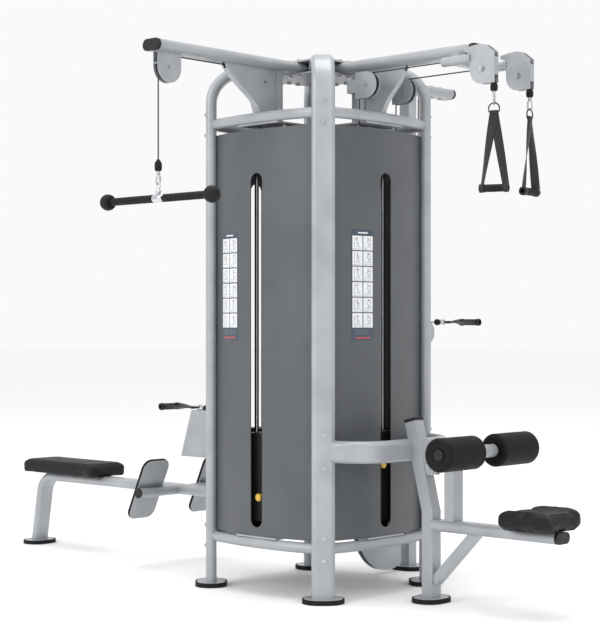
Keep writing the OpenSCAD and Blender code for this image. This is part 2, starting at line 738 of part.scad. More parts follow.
// The same handle held out level on its cable's end
module level_handle(reach) {
  level_h = 190;
  strap_loop(level_h);
  grip_tube(level_h);
  ring_link(20, 60, 36);
  translate([0, 0, 96]) cylinder(d = cable_d, h = reach - 96);
}
module handle_adjust() {
  reach = 190;
  color(black) translate([0, adjust_pulley_y + reach, carriage_z]) rotate([90, 0, 0])
    level_handle(reach);
}
module handle_row() {
  color(black) translate([-row_handle_x, 0, row_cable_z]) rotate([0, 90, 0]) rotate([0, 0, 90])
    level_handle(row_handle_x - row_pulley_x);
}

// ---- lat station ----
module on_lean() {
  translate([lat_column_x, 0, knee_z]) rotate([0, -lean, 0]) children();
}
// Side view of the lat column, half as wide as w, mitred where it starts to lean
function lean_outline(w, extra) = let (m = w * tan(lean / 2), l = lean_h + extra)
  [[lat_column_x - w, foot_h - extra], [lat_column_x + w, foot_h - extra],
    [lat_column_x + w, knee_z + m],
    [lat_column_x - l * sin(lean) + w * cos(lean), knee_z + l * cos(lean) + w * sin(lean)],
    [lat_column_x - l * sin(lean) - w * cos(lean), knee_z + l * cos(lean) - w * sin(lean)],
    [lat_column_x - w, knee_z - m]];
module lat_column_solid(w = lat_tube / 2, extra = 0) {
  rotate([90, 0, 0]) linear_extrude(2 * w, center = true) polygon(lean_outline(w, extra));
}
module lat_column() {
  color(silver) difference() {
    lat_column_solid();
    lat_column_solid(lat_tube / 2 - wall, 1);
  }
  // ears and pin that the roller arm turns on
  color(silver) {
    difference() {
      for (s = [-1, 1]) block([pivot_x - 60, s * 21 - 3, pivot_z - 24], [pivot_x + 20, s * 21 + 3,
        pivot_z + 24]);
      lat_column_solid();
    }
    rod_y([pivot_x, 0, pivot_z], axle_d, 60);
  }
}
module lat_beam() {
  start = lat_column_x + lat_tube / 2;
  color(silver) {
    difference() {
      translate([start, 0, lat_beam_z]) rotate([0, 90, 0]) linear_extrude(lat_beam_l - cap_t - start)
        rotate([0, 0, 90]) oval_wall2d(beam_w, beam_t);
      lat_column_solid();
    }
    // strut up to the beam
    difference() {
      translate([lat_column_x + 30, 0, 95]) rotate([0, 44, 0]) linear_extrude(360)
        box_wall2d(40, 50);
      block([lat_column_x - 200, -100, -100], [start, 100, 500]);
      block([lat_column_x, -100, lat_beam_z - beam_t / 2], [lat_beam_l, 100, 700]);
    }
    // thigh post with the saddle that the roller arm rests in
    post_low = lat_beam_z + beam_t / 2;
    post_x = lat_column_x + 125;
    translate([post_x, 0, post_low]) linear_extrude(saddle_z - 6 - post_low) box_wall2d(50, 70);
    block([post_x - 30, -45, saddle_z - 6], [post_x + 30, 45, saddle_z]);
    for (s = [-1, 1]) block([post_x - 30, s * 26 - 3, saddle_z], [post_x + 25, s * 26 + 3,
      saddle_z + 34]);
  }
}
module yoke_bend() {
  rotate_extrude(angle = 90) translate([yoke_r, 0]) rotate([0, 0, 90])
    oval_wall2d(beam_w, beam_t);
}
// Bowed tube from the front column round to the right-hand one, past the lat column
module lat_yoke() {
  color(silver) difference() {
    union() {
      for (s = [-1, 1]) {
        mirror([0, s < 0 ? 1 : 0, 0]) {
          translate([yoke_x - yoke_r, yoke_y - yoke_r, yoke_z]) yoke_bend();
          translate([yoke_start, yoke_y, yoke_z]) rotate([0, 90, 0])
            linear_extrude(yoke_x - yoke_r - yoke_start) oval_wall2d(beam_w, beam_t);
        }
      }
      translate([yoke_x, 0, yoke_z]) rotate([90, 0, 0])
        linear_extrude(2 * (yoke_y - yoke_r), center = true) rotate([0, 0, 90])
        oval_wall2d(beam_w, beam_t);
    }
    columns_solid();
    lat_column_solid();
  }
}
module rounded_pad(l, w, t, r) {
  linear_extrude(t) {
    square([l - 2 * r, w], center = true);
    square([l, w - 2 * r], center = true);
    for (x = [-1, 1]) for (y = [-1, 1]) translate([x * (l / 2 - r), y * (w / 2 - r)]) circle(r = r);
  }
}
module lat_seat() {
  color(black) translate([lat_seat_x, 0, lat_beam_z + beam_t / 2 + fit])
    rounded_pad(280, 320, 100, 60);
}
module roller_arm() {
  len = norm([roller_x - pivot_x, roller_z - pivot_z]);
  color(silver) difference() {
    union() {
      translate([pivot_x, 0, pivot_z]) rotate([0, -atan(arm_slope), 0]) {
        translate([len / 2, 0, 0]) cube([len, 34, arm_h], center = true);
        rod_y([0, 0, 0], arm_h, 34);
      }
      rod_y([roller_x, 0, roller_z], 58, 130);
      rod_y([roller_x, 0, roller_z], 38, 2 * roller_l + 120);
    }
    rod_y([pivot_x, 0, pivot_z], axle_d + 2 * run, 100);
  }
}
module rollers() {
  color(black) for (s = [-1, 1]) translate([roller_x, s * (70 + roller_l / 2), roller_z])
    rotate([90, 0, 0]) linear_extrude(roller_l, center = true) ring2d(roller_d, 38 + 2 * fit);
}

// ---- row station ----
module row_beam() {
  leg_r = 110;
  lean_out = 10;
  leg_l = (row_beam_z - leg_r + leg_r * sin(lean_out) - foot_h) / cos(lean_out);
  bend_x = row_foot_x - leg_r * cos(lean_out) - leg_l * sin(lean_out);
  inner_x = shroud_off + 12;
  color(silver) {
    difference() {
      translate([-bend_x, 0, row_beam_z]) rotate([0, 90, 0]) linear_extrude(bend_x - inner_x)
        rotate([0, 0, 90]) oval_wall2d(beam_w, beam_t);
      rod_y([-foot_bar_x, 0, row_beam_z], rail_d, 300);
      rod_z([-row_pulley_x + cable_r, 0, row_beam_z + beam_t / 2], 2 * cable_d, 20);
    }
    translate([-bend_x, 0, row_beam_z - leg_r]) rotate([90, 0, 0]) rotate([0, 0, 90])
      rotate_extrude(angle = 90 - lean_out) translate([leg_r, 0]) rotate([0, 0, 90])
      oval_wall2d(beam_w, beam_t);
    difference() {
      translate([-bend_x, 0, row_beam_z - leg_r]) rotate([0, lean_out, 0])
        translate([-leg_r, 0, -leg_l - 20]) linear_extrude(leg_l + 20) rotate([0, 0, 90])
        oval_wall2d(beam_w, beam_t);
      block([-row_foot_x - 200, -100, -100], [-row_foot_x + 200, 100, foot_h]);
    }
    rod_tube_y([-foot_bar_x, 0, row_beam_z], foot_bar_l);
    // stub that carries the beam's inner end on the lower rail, and the row pulley's post
    difference() {
      block([-inner_x - 40, -25, rail_low_z - rail_d / 2], [-inner_x + 2, 25,
        row_beam_z - beam_t / 2]);
      rotate([0, 0, 270]) rail_solid(rail_low_z);
    }
    block([-row_pulley_x + cable_r + 30, -plate_gap_w / 2, row_beam_z + beam_t / 2],
      [-row_pulley_x + cable_r + 70, plate_gap_w / 2, row_cable_z - 20]);
  }
}
module rod_tube_y(p, l) translate(p) rotate([90, 0, 0]) linear_extrude(l, center = true)
  ring2d(rail_d, rail_d - 2 * wall);
module row_seat() {
  color(black) translate([-row_seat_x, 0, row_beam_z + beam_t / 2 + fit])
    rounded_pad(row_seat_l, row_seat_w, cushion_t, 30);
}
module on_foot_plate(s) {
  translate([-foot_bar_x, s * (foot_bar_l / 2 - 90), row_beam_z]) rotate([0, foot_tilt, 0])
    translate([-rail_d / 2, 0, 0]) rotate([0, -90, 0]) children();
}
module foot_plates() {
  color(silver) for (s = [-1, 1]) on_foot_plate(s) rounded_pad(330, 165, 5, 45);
}
module foot_treads() {
  color(black) for (s = [-1, 1]) on_foot_plate(s) translate([0, 0, 5])
    rounded_pad(336, 171, 12, 48);
}
// Cheek plates of the row pulley, and of the low pulley under the tower
module pulley_guards() {
  guard_low = 560;
  guard_high = 800;
  color(silver) {
    for (s = [-1, 1]) translate([0, s * (plate_gap_w + cheek_t) / 2, 0]) rotate([90, 0, 0])
      linear_extrude(cheek_t, center = true) difference() {
        polygon([[-guard_y, guard_low], [-949, guard_low], [-870, guard_high],
          [-guard_y, guard_high]]);
        translate([-row_pulley_x, row_cable_z - cable_r]) circle(d = axle_d + 2 * run);
      }
    for (s = [-1, 1]) translate([s * (plate_gap_w + cheek_t) / 2, 0, 0]) rotate([90, 0, 90])
      linear_extrude(cheek_t, center = true) intersection() {
        translate([500, 250]) circle(r = 235);
        translate([190, 10]) square([410, rail_low_z - rail_d / 2 - 10]);
      }
    block([-plate_gap_w / 2, 440, 30], [plate_gap_w / 2, 446, rail_low_z - rail_d / 2]);
  }
}

// ---- adjustable station ----
module adjust_column() {
  color(silver) difference() {
    translate([0, adjust_y, foot_h]) linear_extrude(tube_low - foot_h)
      box_wall2d(adjust_w, adjust_w);
    for (k = [-9:8]) rod_x([adjust_w / 2, adjust_y, carriage_z + 60 + 100 * k], 12, 3 * wall);
  }
  color(silver) block([-12, adjust_y + adjust_w / 2, lug_z - 12], [12,
    adjust_pulley_y - cable_r + 12, lug_z]);
}
module carriage() {
  outer = adjust_w + 2 * fit + 10;
  color(silver) {
    translate([0, adjust_y, carriage_z - carriage_h / 2]) linear_extrude(carriage_h)
      difference() {
        square([outer, outer], center = true);
        square([adjust_w + 2 * fit, adjust_w + 2 * fit], center = true);
      }
    translate([0, adjust_pulley_y, carriage_z - cable_r]) for (s = [-1, 1])
      translate([s * (plate_gap_w + cheek_t) / 2, 0, 0]) rotate([90, 0, 90])
        linear_extrude(cheek_t, center = true) difference() {
          union() {
            circle(r = 62);
            translate([-(adjust_pulley_y - adjust_y - outer / 2), -40]) square([adjust_pulley_y -
              adjust_y - outer / 2, 80]);
          }
          circle(d = axle_d + 2 * run);
        }
    rod_x([0, adjust_pulley_y, carriage_z - cable_r], axle_d, plate_gap_w + 2 * cheek_t + 12);
  }
}
module pop_pin() {
  outer = adjust_w / 2 + fit + 5;
  color(black) translate([0, 0, carriage_z + 60]) {
    rod_x([outer + 12 + fit, adjust_y, 0], 10, 24);
    rod_x([outer + 36, adjust_y, 0], 30, 24);
  }
}

// ---- fasteners ----
module hex_bolt(p, d, l) {
  translate(p) {
    rod_z([0, 0, 0], d - 2 * run, l);
    for (s = [-1, 1]) translate([0, 0, s * (l / 2)]) cylinder(d = 1.9 * d, h = 0.7 * d,
      center = true, $fn = 6);
  }
}
module fasteners() {
  color(bright) {
    for (a = side_turn) rotate([0, 0, a]) for (s = [-1, 1])
      hex_bolt([s * 30, -hub_half + 22, top_z], axle_d, tube_t + 2 * (hub_t + run) + 0.7 * axle_d);
    for (y = [high_pulley_y, inner_y])
      rod_x([0, -y, high_axle_z], axle_d, plate_gap_w + 2 * cheek_t + 16);
    for (s = [-1, 1]) rod_y([lat_inner_x, s * swivel_y, lat_axle_z], axle_d,
      plate_gap_w + 2 * cheek_t + 16);
    rod_y([-row_pulley_x, 0, row_cable_z - cable_r], axle_d, plate_gap_w + 2 * cheek_t + 16);
    for (y = stub_bolt_y) hex_bolt([0, y, top_z], axle_d, tube_t + 0.7 * axle_d);
  }
}

arch_front_back();
arch_sides();
rails();
crossing_plates();
bed_plate();
arms();
end_caps();
gussets();
pulley_housings();
shrouds();
foot_plates_steel();
foot_pads();
bumpers();
guide_rods();
resting_plates();
lat_column();
lat_beam();
lat_yoke();
lat_seat();
row_beam();
row_seat();
foot_plates();
foot_treads();
pulley_guards();
adjust_column();
fasteners();
cables();
stack_high();
stack_lat();
stack_adjust();
stack_row();
pin_high();
pin_lat();
pin_adjust();
pin_row();
cable_drop_high();
cable_drop_lat();
cable_drop_adjust();
cable_drop_row();
bar_rod();
bar_grips();
handle_near();
handle_far();
link_near();
link_far();
handle_adjust();
handle_row();
swivel_near();
swivel_far();
pulley_high_end();
pulley_high_inner();
pulleys_lat_inner();
pulley_near();
pulley_far();
pulley_row();
pulley_adjust();
carriage();
pop_pin();
roller_arm();
rollers();
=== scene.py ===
import bpy
import bmesh
import math
from mathutils import Matrix, Vector
from mathutils.bvhtree import BVHTree


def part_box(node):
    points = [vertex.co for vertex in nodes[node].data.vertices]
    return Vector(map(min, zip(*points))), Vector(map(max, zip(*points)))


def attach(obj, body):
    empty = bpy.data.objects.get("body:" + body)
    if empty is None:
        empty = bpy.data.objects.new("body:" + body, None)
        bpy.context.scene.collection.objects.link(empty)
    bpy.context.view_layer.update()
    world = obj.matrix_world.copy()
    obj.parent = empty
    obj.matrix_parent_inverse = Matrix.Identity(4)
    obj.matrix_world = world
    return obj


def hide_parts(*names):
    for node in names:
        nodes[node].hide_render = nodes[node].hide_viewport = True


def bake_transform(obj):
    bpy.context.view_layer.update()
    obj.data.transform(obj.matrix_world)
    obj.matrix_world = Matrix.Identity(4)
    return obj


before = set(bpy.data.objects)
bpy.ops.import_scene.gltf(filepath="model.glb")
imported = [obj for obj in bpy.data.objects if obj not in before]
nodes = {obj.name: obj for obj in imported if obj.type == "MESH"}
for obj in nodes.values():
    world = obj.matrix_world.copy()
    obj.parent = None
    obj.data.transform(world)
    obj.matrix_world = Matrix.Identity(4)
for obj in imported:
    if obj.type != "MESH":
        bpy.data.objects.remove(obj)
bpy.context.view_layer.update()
scene = bpy.context.scene


def toLinear(hexText):
    channels = [int(hexText[i:i + 2], 16) / 255 for i in (1, 3, 5)]
    return tuple(c / 12.92 if c <= 0.04045 else ((c + 0.055) / 1.055) ** 2.4 for c in channels) + (1.0,)


def addNode(tree, kind, values=None, **settings):
    node = tree.nodes.new(kind)
    for key, value in settings.items():
        setattr(node, key, value)
    for key, value in (values or {}).items():
        if isinstance(value, bpy.types.NodeSocket):
            tree.links.new(value, node.inputs[key])
        else:
            node.inputs[key].default_value = value
    return node


def pieceFrom(name, points, faces, material, smooth=True):
    mesh = bpy.data.meshes.new(name)
    mesh.from_pydata([tuple(p) for p in points], [], faces)
    mesh.materials.append(material)
    mesh.polygons.foreach_set("use_smooth", [smooth] * len(mesh.polygons))
    mesh.update()
    piece = bpy.data.objects.new(name, mesh)
    scene.collection.objects.link(piece)
    return piece


def joinParts(parts):
    points, faces = [], []
    for partPoints, partFaces in parts:
        start = len(points)
        points += [Vector(p) for p in partPoints]
        faces += [tuple(i + start for i in face) for face in partFaces]
    return points, faces


def placed(part, matrix):
    return [matrix @ Vector(p) for p in part[0]], part[1]


def turnedShape(profile, segments=40):
    # profile of (radius, height) from the lower pole to the upper one, or a closed ring of them
    closed = profile[0][0] > 1e-6
    points, faces, rows = [], [], []
    for radius, height in profile:
        if radius < 1e-6:
            rows.append([len(points)])
            points.append(Vector((0, 0, height)))
        else:
            rows.append(list(range(len(points), len(points) + segments)))
            points += [Vector((radius * math.cos(2 * math.pi * k / segments),
                               radius * math.sin(2 * math.pi * k / segments), height)) for k in range(segments)]
    pairs = list(zip(rows, rows[1:])) + ([(rows[-1], rows[0])] if closed else [])
    for low, high in pairs:
        for k in range(segments):
            n = (k + 1) % segments
            if len(low) == 1:
                faces.append((low[0], high[n], high[k]))
            elif len(high) == 1:
                faces.append((low[k], low[n], high[0]))
            else:
                faces.append((low[k], low[n], high[n], high[k]))
    return points, faces


def tubeAlong(path, radius, segments=12, closed=False):
    # a round wire along a path, with capped ends unless it is closed
    path = [Vector(p) for p in path]
    count = len(path)
    points, faces, side = [], [], None
    for i, p in enumerate(path):
        before = path[i - 1] if (i or closed) else p
        after = path[(i + 1) % count] if (i < count - 1 or closed) else p
        ahead = (after - before).normalized()
        if side is None:
            side = ahead.orthogonal().normalized()
        side = (side - ahead * side.dot(ahead)).normalized()
        up = ahead.cross(side)
        size = radius[i] if isinstance(radius, list) else radius
        points += [p + (side * math.cos(2 * math.pi * k / segments) + up * math.sin(2 * math.pi * k / segments)) * size
                   for k in range(segments)]
    for i in range(count if closed else count - 1):
        a, b = i * segments, ((i + 1) % count) * segments
        for k in range(segments):
            n = (k + 1) % segments
            faces.append((a + k, a + n, b + n, b + k))
    if not closed:
        faces.append(tuple(range(segments - 1, -1, -1)))
        faces.append(tuple(range(len(points) - segments, len(points))))
    return points, faces


def arcPoints(centre, radius, fromDeg, toDeg, steps, plane="xz"):
    made = []
    for k in range(steps + 1):
        a = math.radians(fromDeg + (toDeg - fromDeg) * k / steps)
        u, v = radius * math.cos(a), radius * math.sin(a)
        made.append(Vector(centre) + (Vector((u, 0, v)) if plane == "xz" else Vector((0, u, v))))
    return made


def outwardFaces(piece, doubles=1e-6):
    work = bmesh.new()
    work.from_mesh(piece.data)
    bmesh.ops.remove_doubles(work, verts=work.verts, dist=doubles)
    bmesh.ops.recalc_face_normals(work, faces=work.faces)
    work.to_mesh(piece.data)
    work.free()
    piece.data.update()
    return piece


# light and dark are the two ends of the colour's slow change; patchMm is the size of that change.
# grainMm and grainDepth give the surface's own texture, and rough is the span of roughness.
finishes = {
    # polyester powder coat over steel tube: a soft even sheen with a faint orange peel, drawn at 5 mm to show
    "silverPowderCoat": dict(light="#a9acb0", dark="#9a9da1", metallic=0.25, rough=(0.34, 0.46), patchMm=160,
                             grainMm=5, grainDepth=0.05, coat=0.18),
    # the same coat in slate grey on the sheet shrouds, a little rougher
    "greyPowderCoat": dict(light="#56595c", dark="#4e5154", metallic=0.12, rough=(0.40, 0.52), patchMm=260,
                           grainMm=4, grainDepth=0.06, coat=0.10),
    # hard-chromed guide rods and pull bar: mirror bright with fine drag marks
    "chromedSteel": dict(light="#d6d8da", dark="#c4c6c9", metallic=1.0, rough=(0.10, 0.22), patchMm=40,
                         grainMm=1.5, grainDepth=0.02, coat=0.0),
    # zinc-plated bolts, rings and snap links: bright but slightly cloudy
    "zincPlate": dict(light="#c8c9c8", dark="#a3a5a7", metallic=1.0, rough=(0.24, 0.42), patchMm=12,
                      grainMm=1.2, grainDepth=0.05, coat=0.0),
    # enamelled cast iron plates: near black, half gloss, lightly pitted
    "blackEnamelIron": dict(light="#202123", dark="#131415", metallic=0.0, rough=(0.34, 0.56), patchMm=45,
                            grainMm=3, grainDepth=0.18, coat=0.12),
    # moulded nitrile rubber under the feet and on the treads: dull, with a fine tooth
    "mouldedRubber": dict(light="#1b1c1d", dark="#111112", metallic=0.0, rough=(0.66, 0.84), patchMm=30,
                          grainMm=1.6, grainDepth=0.20, coat=0.0, gloss=0.25),
    # rubber sleeves on bar and handles: the same rubber polished by hands
    "gripRubber": dict(light="#18191a", dark="#0e0e0f", metallic=0.0, rough=(0.48, 0.68), patchMm=22,
                       grainMm=1.2, grainDepth=0.12, coat=0.0, gloss=0.25),
    # injection-moulded polypropylene caps and knobs: spark-eroded texture
    "blackPlastic": dict(light="#191a1b", dark="#101112", metallic=0.0, rough=(0.40, 0.56), patchMm=35,
                         grainMm=1.4, grainDepth=0.12, coat=0.0, gloss=0.35),
    # turned nylon pulleys: smoother than the caps
    "pulleyNylon": dict(light="#26272a", dark="#1a1b1d", metallic=0.0, rough=(0.30, 0.44), patchMm=30,
                        grainMm=2, grainDepth=0.06, coat=0.05),
    # oiled black-oxide rings that the straps hang from
    "blackOxideSteel": dict(light="#2b2c2e", dark="#1b1c1d", metallic=0.6, rough=(0.30, 0.46), patchMm=20,
                            grainMm=1.5, grainDepth=0.06, coat=0.0),
    # lacquered yellow-gold knobs on the selector pins
    "goldLacquer": dict(light="#d9b13c", dark="#b8902a", metallic=0.15, rough=(0.22, 0.34), patchMm=18,
                        grainMm=2, grainDepth=0.03, coat=0.35),
    # vinyl upholstery: pebbled leather grain about 2 mm across, with a low sheen
    "blackVinyl": dict(light="#161618", dark="#0e0e10", metallic=0.0, rough=(0.46, 0.62), patchMm=120,
                       grainMm=2.4, grainDepth=0.20, coat=0.0, cells=True, gloss=0.25),
    # skinned foam of the thigh rollers: finer and duller than the vinyl
    "skinnedFoam": dict(light="#111112", dark="#0a0a0b", metallic=0.0, rough=(0.52, 0.70), patchMm=80,
                        grainMm=3.0, grainDepth=0.16, coat=0.0, cells=True, gloss=0.2),
    # nylon jacket over the steel cable
    "cableJacket": dict(light="#2b2c2e", dark="#1c1d1e", metallic=0.0, rough=(0.32, 0.46), patchMm=25,
                        grainMm=1.5, grainDepth=0.05, coat=0.08),
    # printed card under clear film, for the exercise placards
    "placardWhite": dict(light="#e4e6e8", dark="#d9dbde", metallic=0.0, rough=(0.22, 0.34), patchMm=60,
                         grainMm=3, grainDepth=0.02, coat=0.30),
    "placardSlate": dict(light="#3a4757", dark="#333f4e", metallic=0.0, rough=(0.24, 0.36), patchMm=60,
                         grainMm=3, grainDepth=0.02, coat=0.30),
    "inkGrey": dict(light="#6e747b", dark="#60666d", metallic=0.0, rough=(0.24, 0.36), patchMm=30,
                    grainMm=3, grainDepth=0.02, coat=0.30),
    "inkRed": dict(light="#b5473c", dark="#a53c33", metallic=0.0, rough=(0.24, 0.36), patchMm=30,
                   grainMm=3, grainDepth=0.02, coat=0.30),
    # polyester thread in the seams
    "seamThread": dict(light="#3a3a3c", dark="#2a2a2c", metallic=0.0, rough=(0.60, 0.80), patchMm=8,
                       grainMm=1, grainDepth=0.2, coat=0.0),
}


def makeFinish(name, light, dark, metallic, rough, patchMm, grainMm, grainDepth, coat, cells=False, gloss=0.5):
    material = bpy.data.materials.new(name)
    material.use_nodes = True
    tree = material.node_tree
    tree.nodes.clear()
    place = addNode(tree, "ShaderNodeTexCoord").outputs["Object"]
    patch = addNode(tree, "ShaderNodeTexNoise", {"Vector": place, "Scale": 1000 / patchMm, "Detail": 4.0,
                                                 "Roughness": 0.55})
    colour = addNode(tree, "ShaderNodeValToRGB", {"Fac": patch.outputs["Fac"]})
    colour.color_ramp.elements[0].position, colour.color_ramp.elements[0].color = 0.32, toLinear(dark)
    colour.color_ramp.elements[1].position, colour.color_ramp.elements[1].color = 0.68, toLinear(light)
    scuff = addNode(tree, "ShaderNodeTexNoise", {"Vector": place, "Scale": 4000 / patchMm, "Detail": 6.0,
                                                 "Roughness": 0.7})
    roughness = addNode(tree, "ShaderNodeMapRange", {"Value": scuff.outputs["Fac"], "From Min": 0.3,
                                                     "From Max": 0.7, "To Min": rough[0], "To Max": rough[1]})
    if cells:
        grain = addNode(tree, "ShaderNodeTexVoronoi", {"Vector": place, "Scale": 1000 / grainMm,
                                                       "Randomness": 0.9}, feature="SMOOTH_F1")
        height = grain.outputs["Distance"]
    else:
        grain = addNode(tree, "ShaderNodeTexNoise", {"Vector": place, "Scale": 1000 / grainMm, "Detail": 2.0})
        height = grain.outputs["Fac"]
    relief = addNode(tree, "ShaderNodeBump", {"Height": height, "Strength": grainDepth,
                                              "Distance": grainMm / 1000}, invert=cells)
    shader = addNode(tree, "ShaderNodeBsdfPrincipled", {
        "Base Color": colour.outputs["Color"], "Roughness": roughness.outputs["Result"],
        "Normal": relief.outputs["Normal"], "Metallic": metallic, "Specular IOR Level": gloss,
        "Coat Weight": coat, "Coat Roughness": 0.2})
    addNode(tree, "ShaderNodeOutputMaterial", {"Surface": shader.outputs["BSDF"]})
    return material


finish = {name: makeFinish(name, **spec) for name, spec in finishes.items()}


def makeWebbing():
    # woven polypropylene strap: 1.6 mm herringbone ribs along it, drawn at 3 mm so that they show
    material = bpy.data.materials.new("blackWebbing")
    material.use_nodes = True
    tree = material.node_tree
    tree.nodes.clear()
    along = addNode(tree, "ShaderNodeUVMap", uv_map="strapMetres").outputs["UV"]
    weft = addNode(tree, "ShaderNodeTexWave", {"Vector": along, "Scale": 52.0, "Distortion": 0.6, "Detail": 1.0},
                   wave_type="BANDS", bands_direction="Y")
    warp = addNode(tree, "ShaderNodeTexWave", {"Vector": along, "Scale": 80.0, "Distortion": 0.3, "Detail": 1.0},
                   wave_type="BANDS", bands_direction="X")
    weave = addNode(tree, "ShaderNodeMath", {0: weft.outputs["Fac"], 1: warp.outputs["Fac"]}, operation="MULTIPLY")
    colour = addNode(tree, "ShaderNodeValToRGB", {"Fac": weave.outputs["Value"]})
    colour.color_ramp.elements[0].color = toLinear("#161617")
    colour.color_ramp.elements[1].color = toLinear("#303032")
    relief = addNode(tree, "ShaderNodeBump", {"Height": weave.outputs["Value"], "Strength": 0.5, "Distance": 0.0008})
    shader = addNode(tree, "ShaderNodeBsdfPrincipled", {
        "Base Color": colour.outputs["Color"], "Roughness": 0.72, "Normal": relief.outputs["Normal"],
        "Sheen Weight": 0.2, "Sheen Roughness": 0.4})
    addNode(tree, "ShaderNodeOutputMaterial", {"Surface": shader.outputs["BSDF"]})
    return material


finish["blackWebbing"] = makeWebbing()

cadFinish = {
    "silverPowderCoat": "arch_front_back arch_sides rails crossing_plates bed_plate arms gussets pulley_housings "
                        "foot_plates_steel lat_column lat_beam lat_yoke row_beam foot_plates pulley_guards "
                        "adjust_column swivel_near swivel_far carriage roller_arm",
    "greyPowderCoat": "shrouds",
    "chromedSteel": "guide_rods bar_rod",
    "zincPlate": "fasteners link_near link_far",
    "blackEnamelIron": "resting_plates stack_high stack_lat stack_adjust stack_row",
    "mouldedRubber": "foot_pads bumpers foot_treads",
    "blackPlastic": "end_caps pop_pin",
    "pulleyNylon": "pulley_high_end pulley_high_inner pulleys_lat_inner pulley_near pulley_far pulley_row "
                   "pulley_adjust",
    "goldLacquer": "pin_high pin_lat pin_adjust pin_row",
    "blackVinyl": "lat_seat row_seat rollers",
    "blackWebbing": "handle_near handle_far handle_adjust handle_row",
    "cableJacket": "cables cable_drop_high cable_drop_lat cable_drop_adjust cable_drop_row",
    "gripRubber": "bar_grips",
}
for name, members in cadFinish.items():
    for member in members.split():
        mesh = nodes[member].data
        mesh.materials.clear()
        mesh.materials.append(finish[name])
print("finishes laid on", len(nodes), "frame nodes")


def roundedBox(size, corner, edge, topShape, under, name):
    # a closed pad: an outline with rounded corners and rounded edges; topShape(x, y) lifts its upper face,
    # and the given share of it lifts the underside
    length, width, height = size
    outline = []
    for sx, sy, start in ((1, 1, 0), (-1, 1, 90), (-1, -1, 180), (1, -1, 270)):
        for k in range(9):
            a = math.radians(start + 90 * k / 8)
            outline.append((sx * (length / 2 - corner) + corner * math.cos(a),
                            sy * (width / 2 - corner) + corner * math.sin(a)))
    rings = [(edge, 0.0)]
    rings += [(edge * (1 - math.sin(math.radians(15 * k))), edge * 0.5 * (1 - math.cos(math.radians(15 * k))))
              for k in range(1, 7)]
    rings += [(edge * (1 - math.cos(math.radians(15 * k))), height - edge + edge * math.sin(math.radians(15 * k)))
              for k in range(7)]
    inner = [(edge + (min(length, width) / 2 - edge) * k / 16, height) for k in range(1, 16)]
    points, faces, count = [], [], len(outline)
    for inset, z in rings + inner:
        for x, y in outline:
            sx, sy = 1 - 2 * inset / length, 1 - 2 * inset / width
            px, py = x * sx, y * sy
            points.append((px, py, z + topShape(px, py) * (1.0 if z > height / 2 else under)))
    for r in range(len(rings + inner) - 1):
        for k in range(count):
            n = (k + 1) % count
            a, b = r * count, (r + 1) * count
            faces.append((a + k, a + n, b + n, b + k))
    faces.append(tuple(reversed(range(count))))
    last = len(points) - count
    centre = len(points)
    points.append((0, 0, height + topShape(0, 0)))
    faces += [(last + k, last + (k + 1) % count, centre) for k in range(count)]
    return pieceFrom(name, points, faces, finish["blackVinyl"])


def puffUp(piece, voxel, pressure, capMetres, frames=20):
    remesh = piece.modifiers.new("Remesh", "REMESH")
    remesh.mode, remesh.voxel_size, remesh.use_smooth_shade = "VOXEL", voxel, True
    bakeModifiers(piece)
    rest = [v.co.copy() for v in piece.data.vertices]
    cloth = piece.modifiers.new("Cloth", "CLOTH")
    cloth.settings.quality = 5
    cloth.settings.mass = 0.3
    cloth.settings.use_pressure = True
    cloth.settings.uniform_pressure_force = pressure
    cloth.settings.effector_weights.gravity = 0.0
    cloth.point_cache.frame_start, cloth.point_cache.frame_end = 1, frames
    for k in range(1, frames + 1):
        scene.frame_set(k)
    puffed = piece.evaluated_get(bpy.context.evaluated_depsgraph_get()).to_mesh()
    moved = [v.co.copy() for v in puffed.vertices]
    piece.modifiers.remove(cloth)
    for vertex, old, new in zip(piece.data.vertices, rest, moved):
        step = new - old
        if step.length > capMetres:
            step *= capMetres / step.length
        vertex.co = old + step
    scene.frame_set(1)
    piece.data.update()


def bakeModifiers(piece):
    bpy.context.view_layer.update()
    made = bpy.data.meshes.new_from_object(piece.evaluated_get(bpy.context.evaluated_depsgraph_get()))
    piece.modifiers.clear()
    piece.data = made


def smoothLevels(piece, levels=1):
    subdivide = piece.modifiers.new("Subdivision", "SUBSURF")
    subdivide.levels = subdivide.render_levels = levels
    bakeModifiers(piece)
    piece.data.polygons.foreach_set("use_smooth", [True] * len(piece.data.polygons))


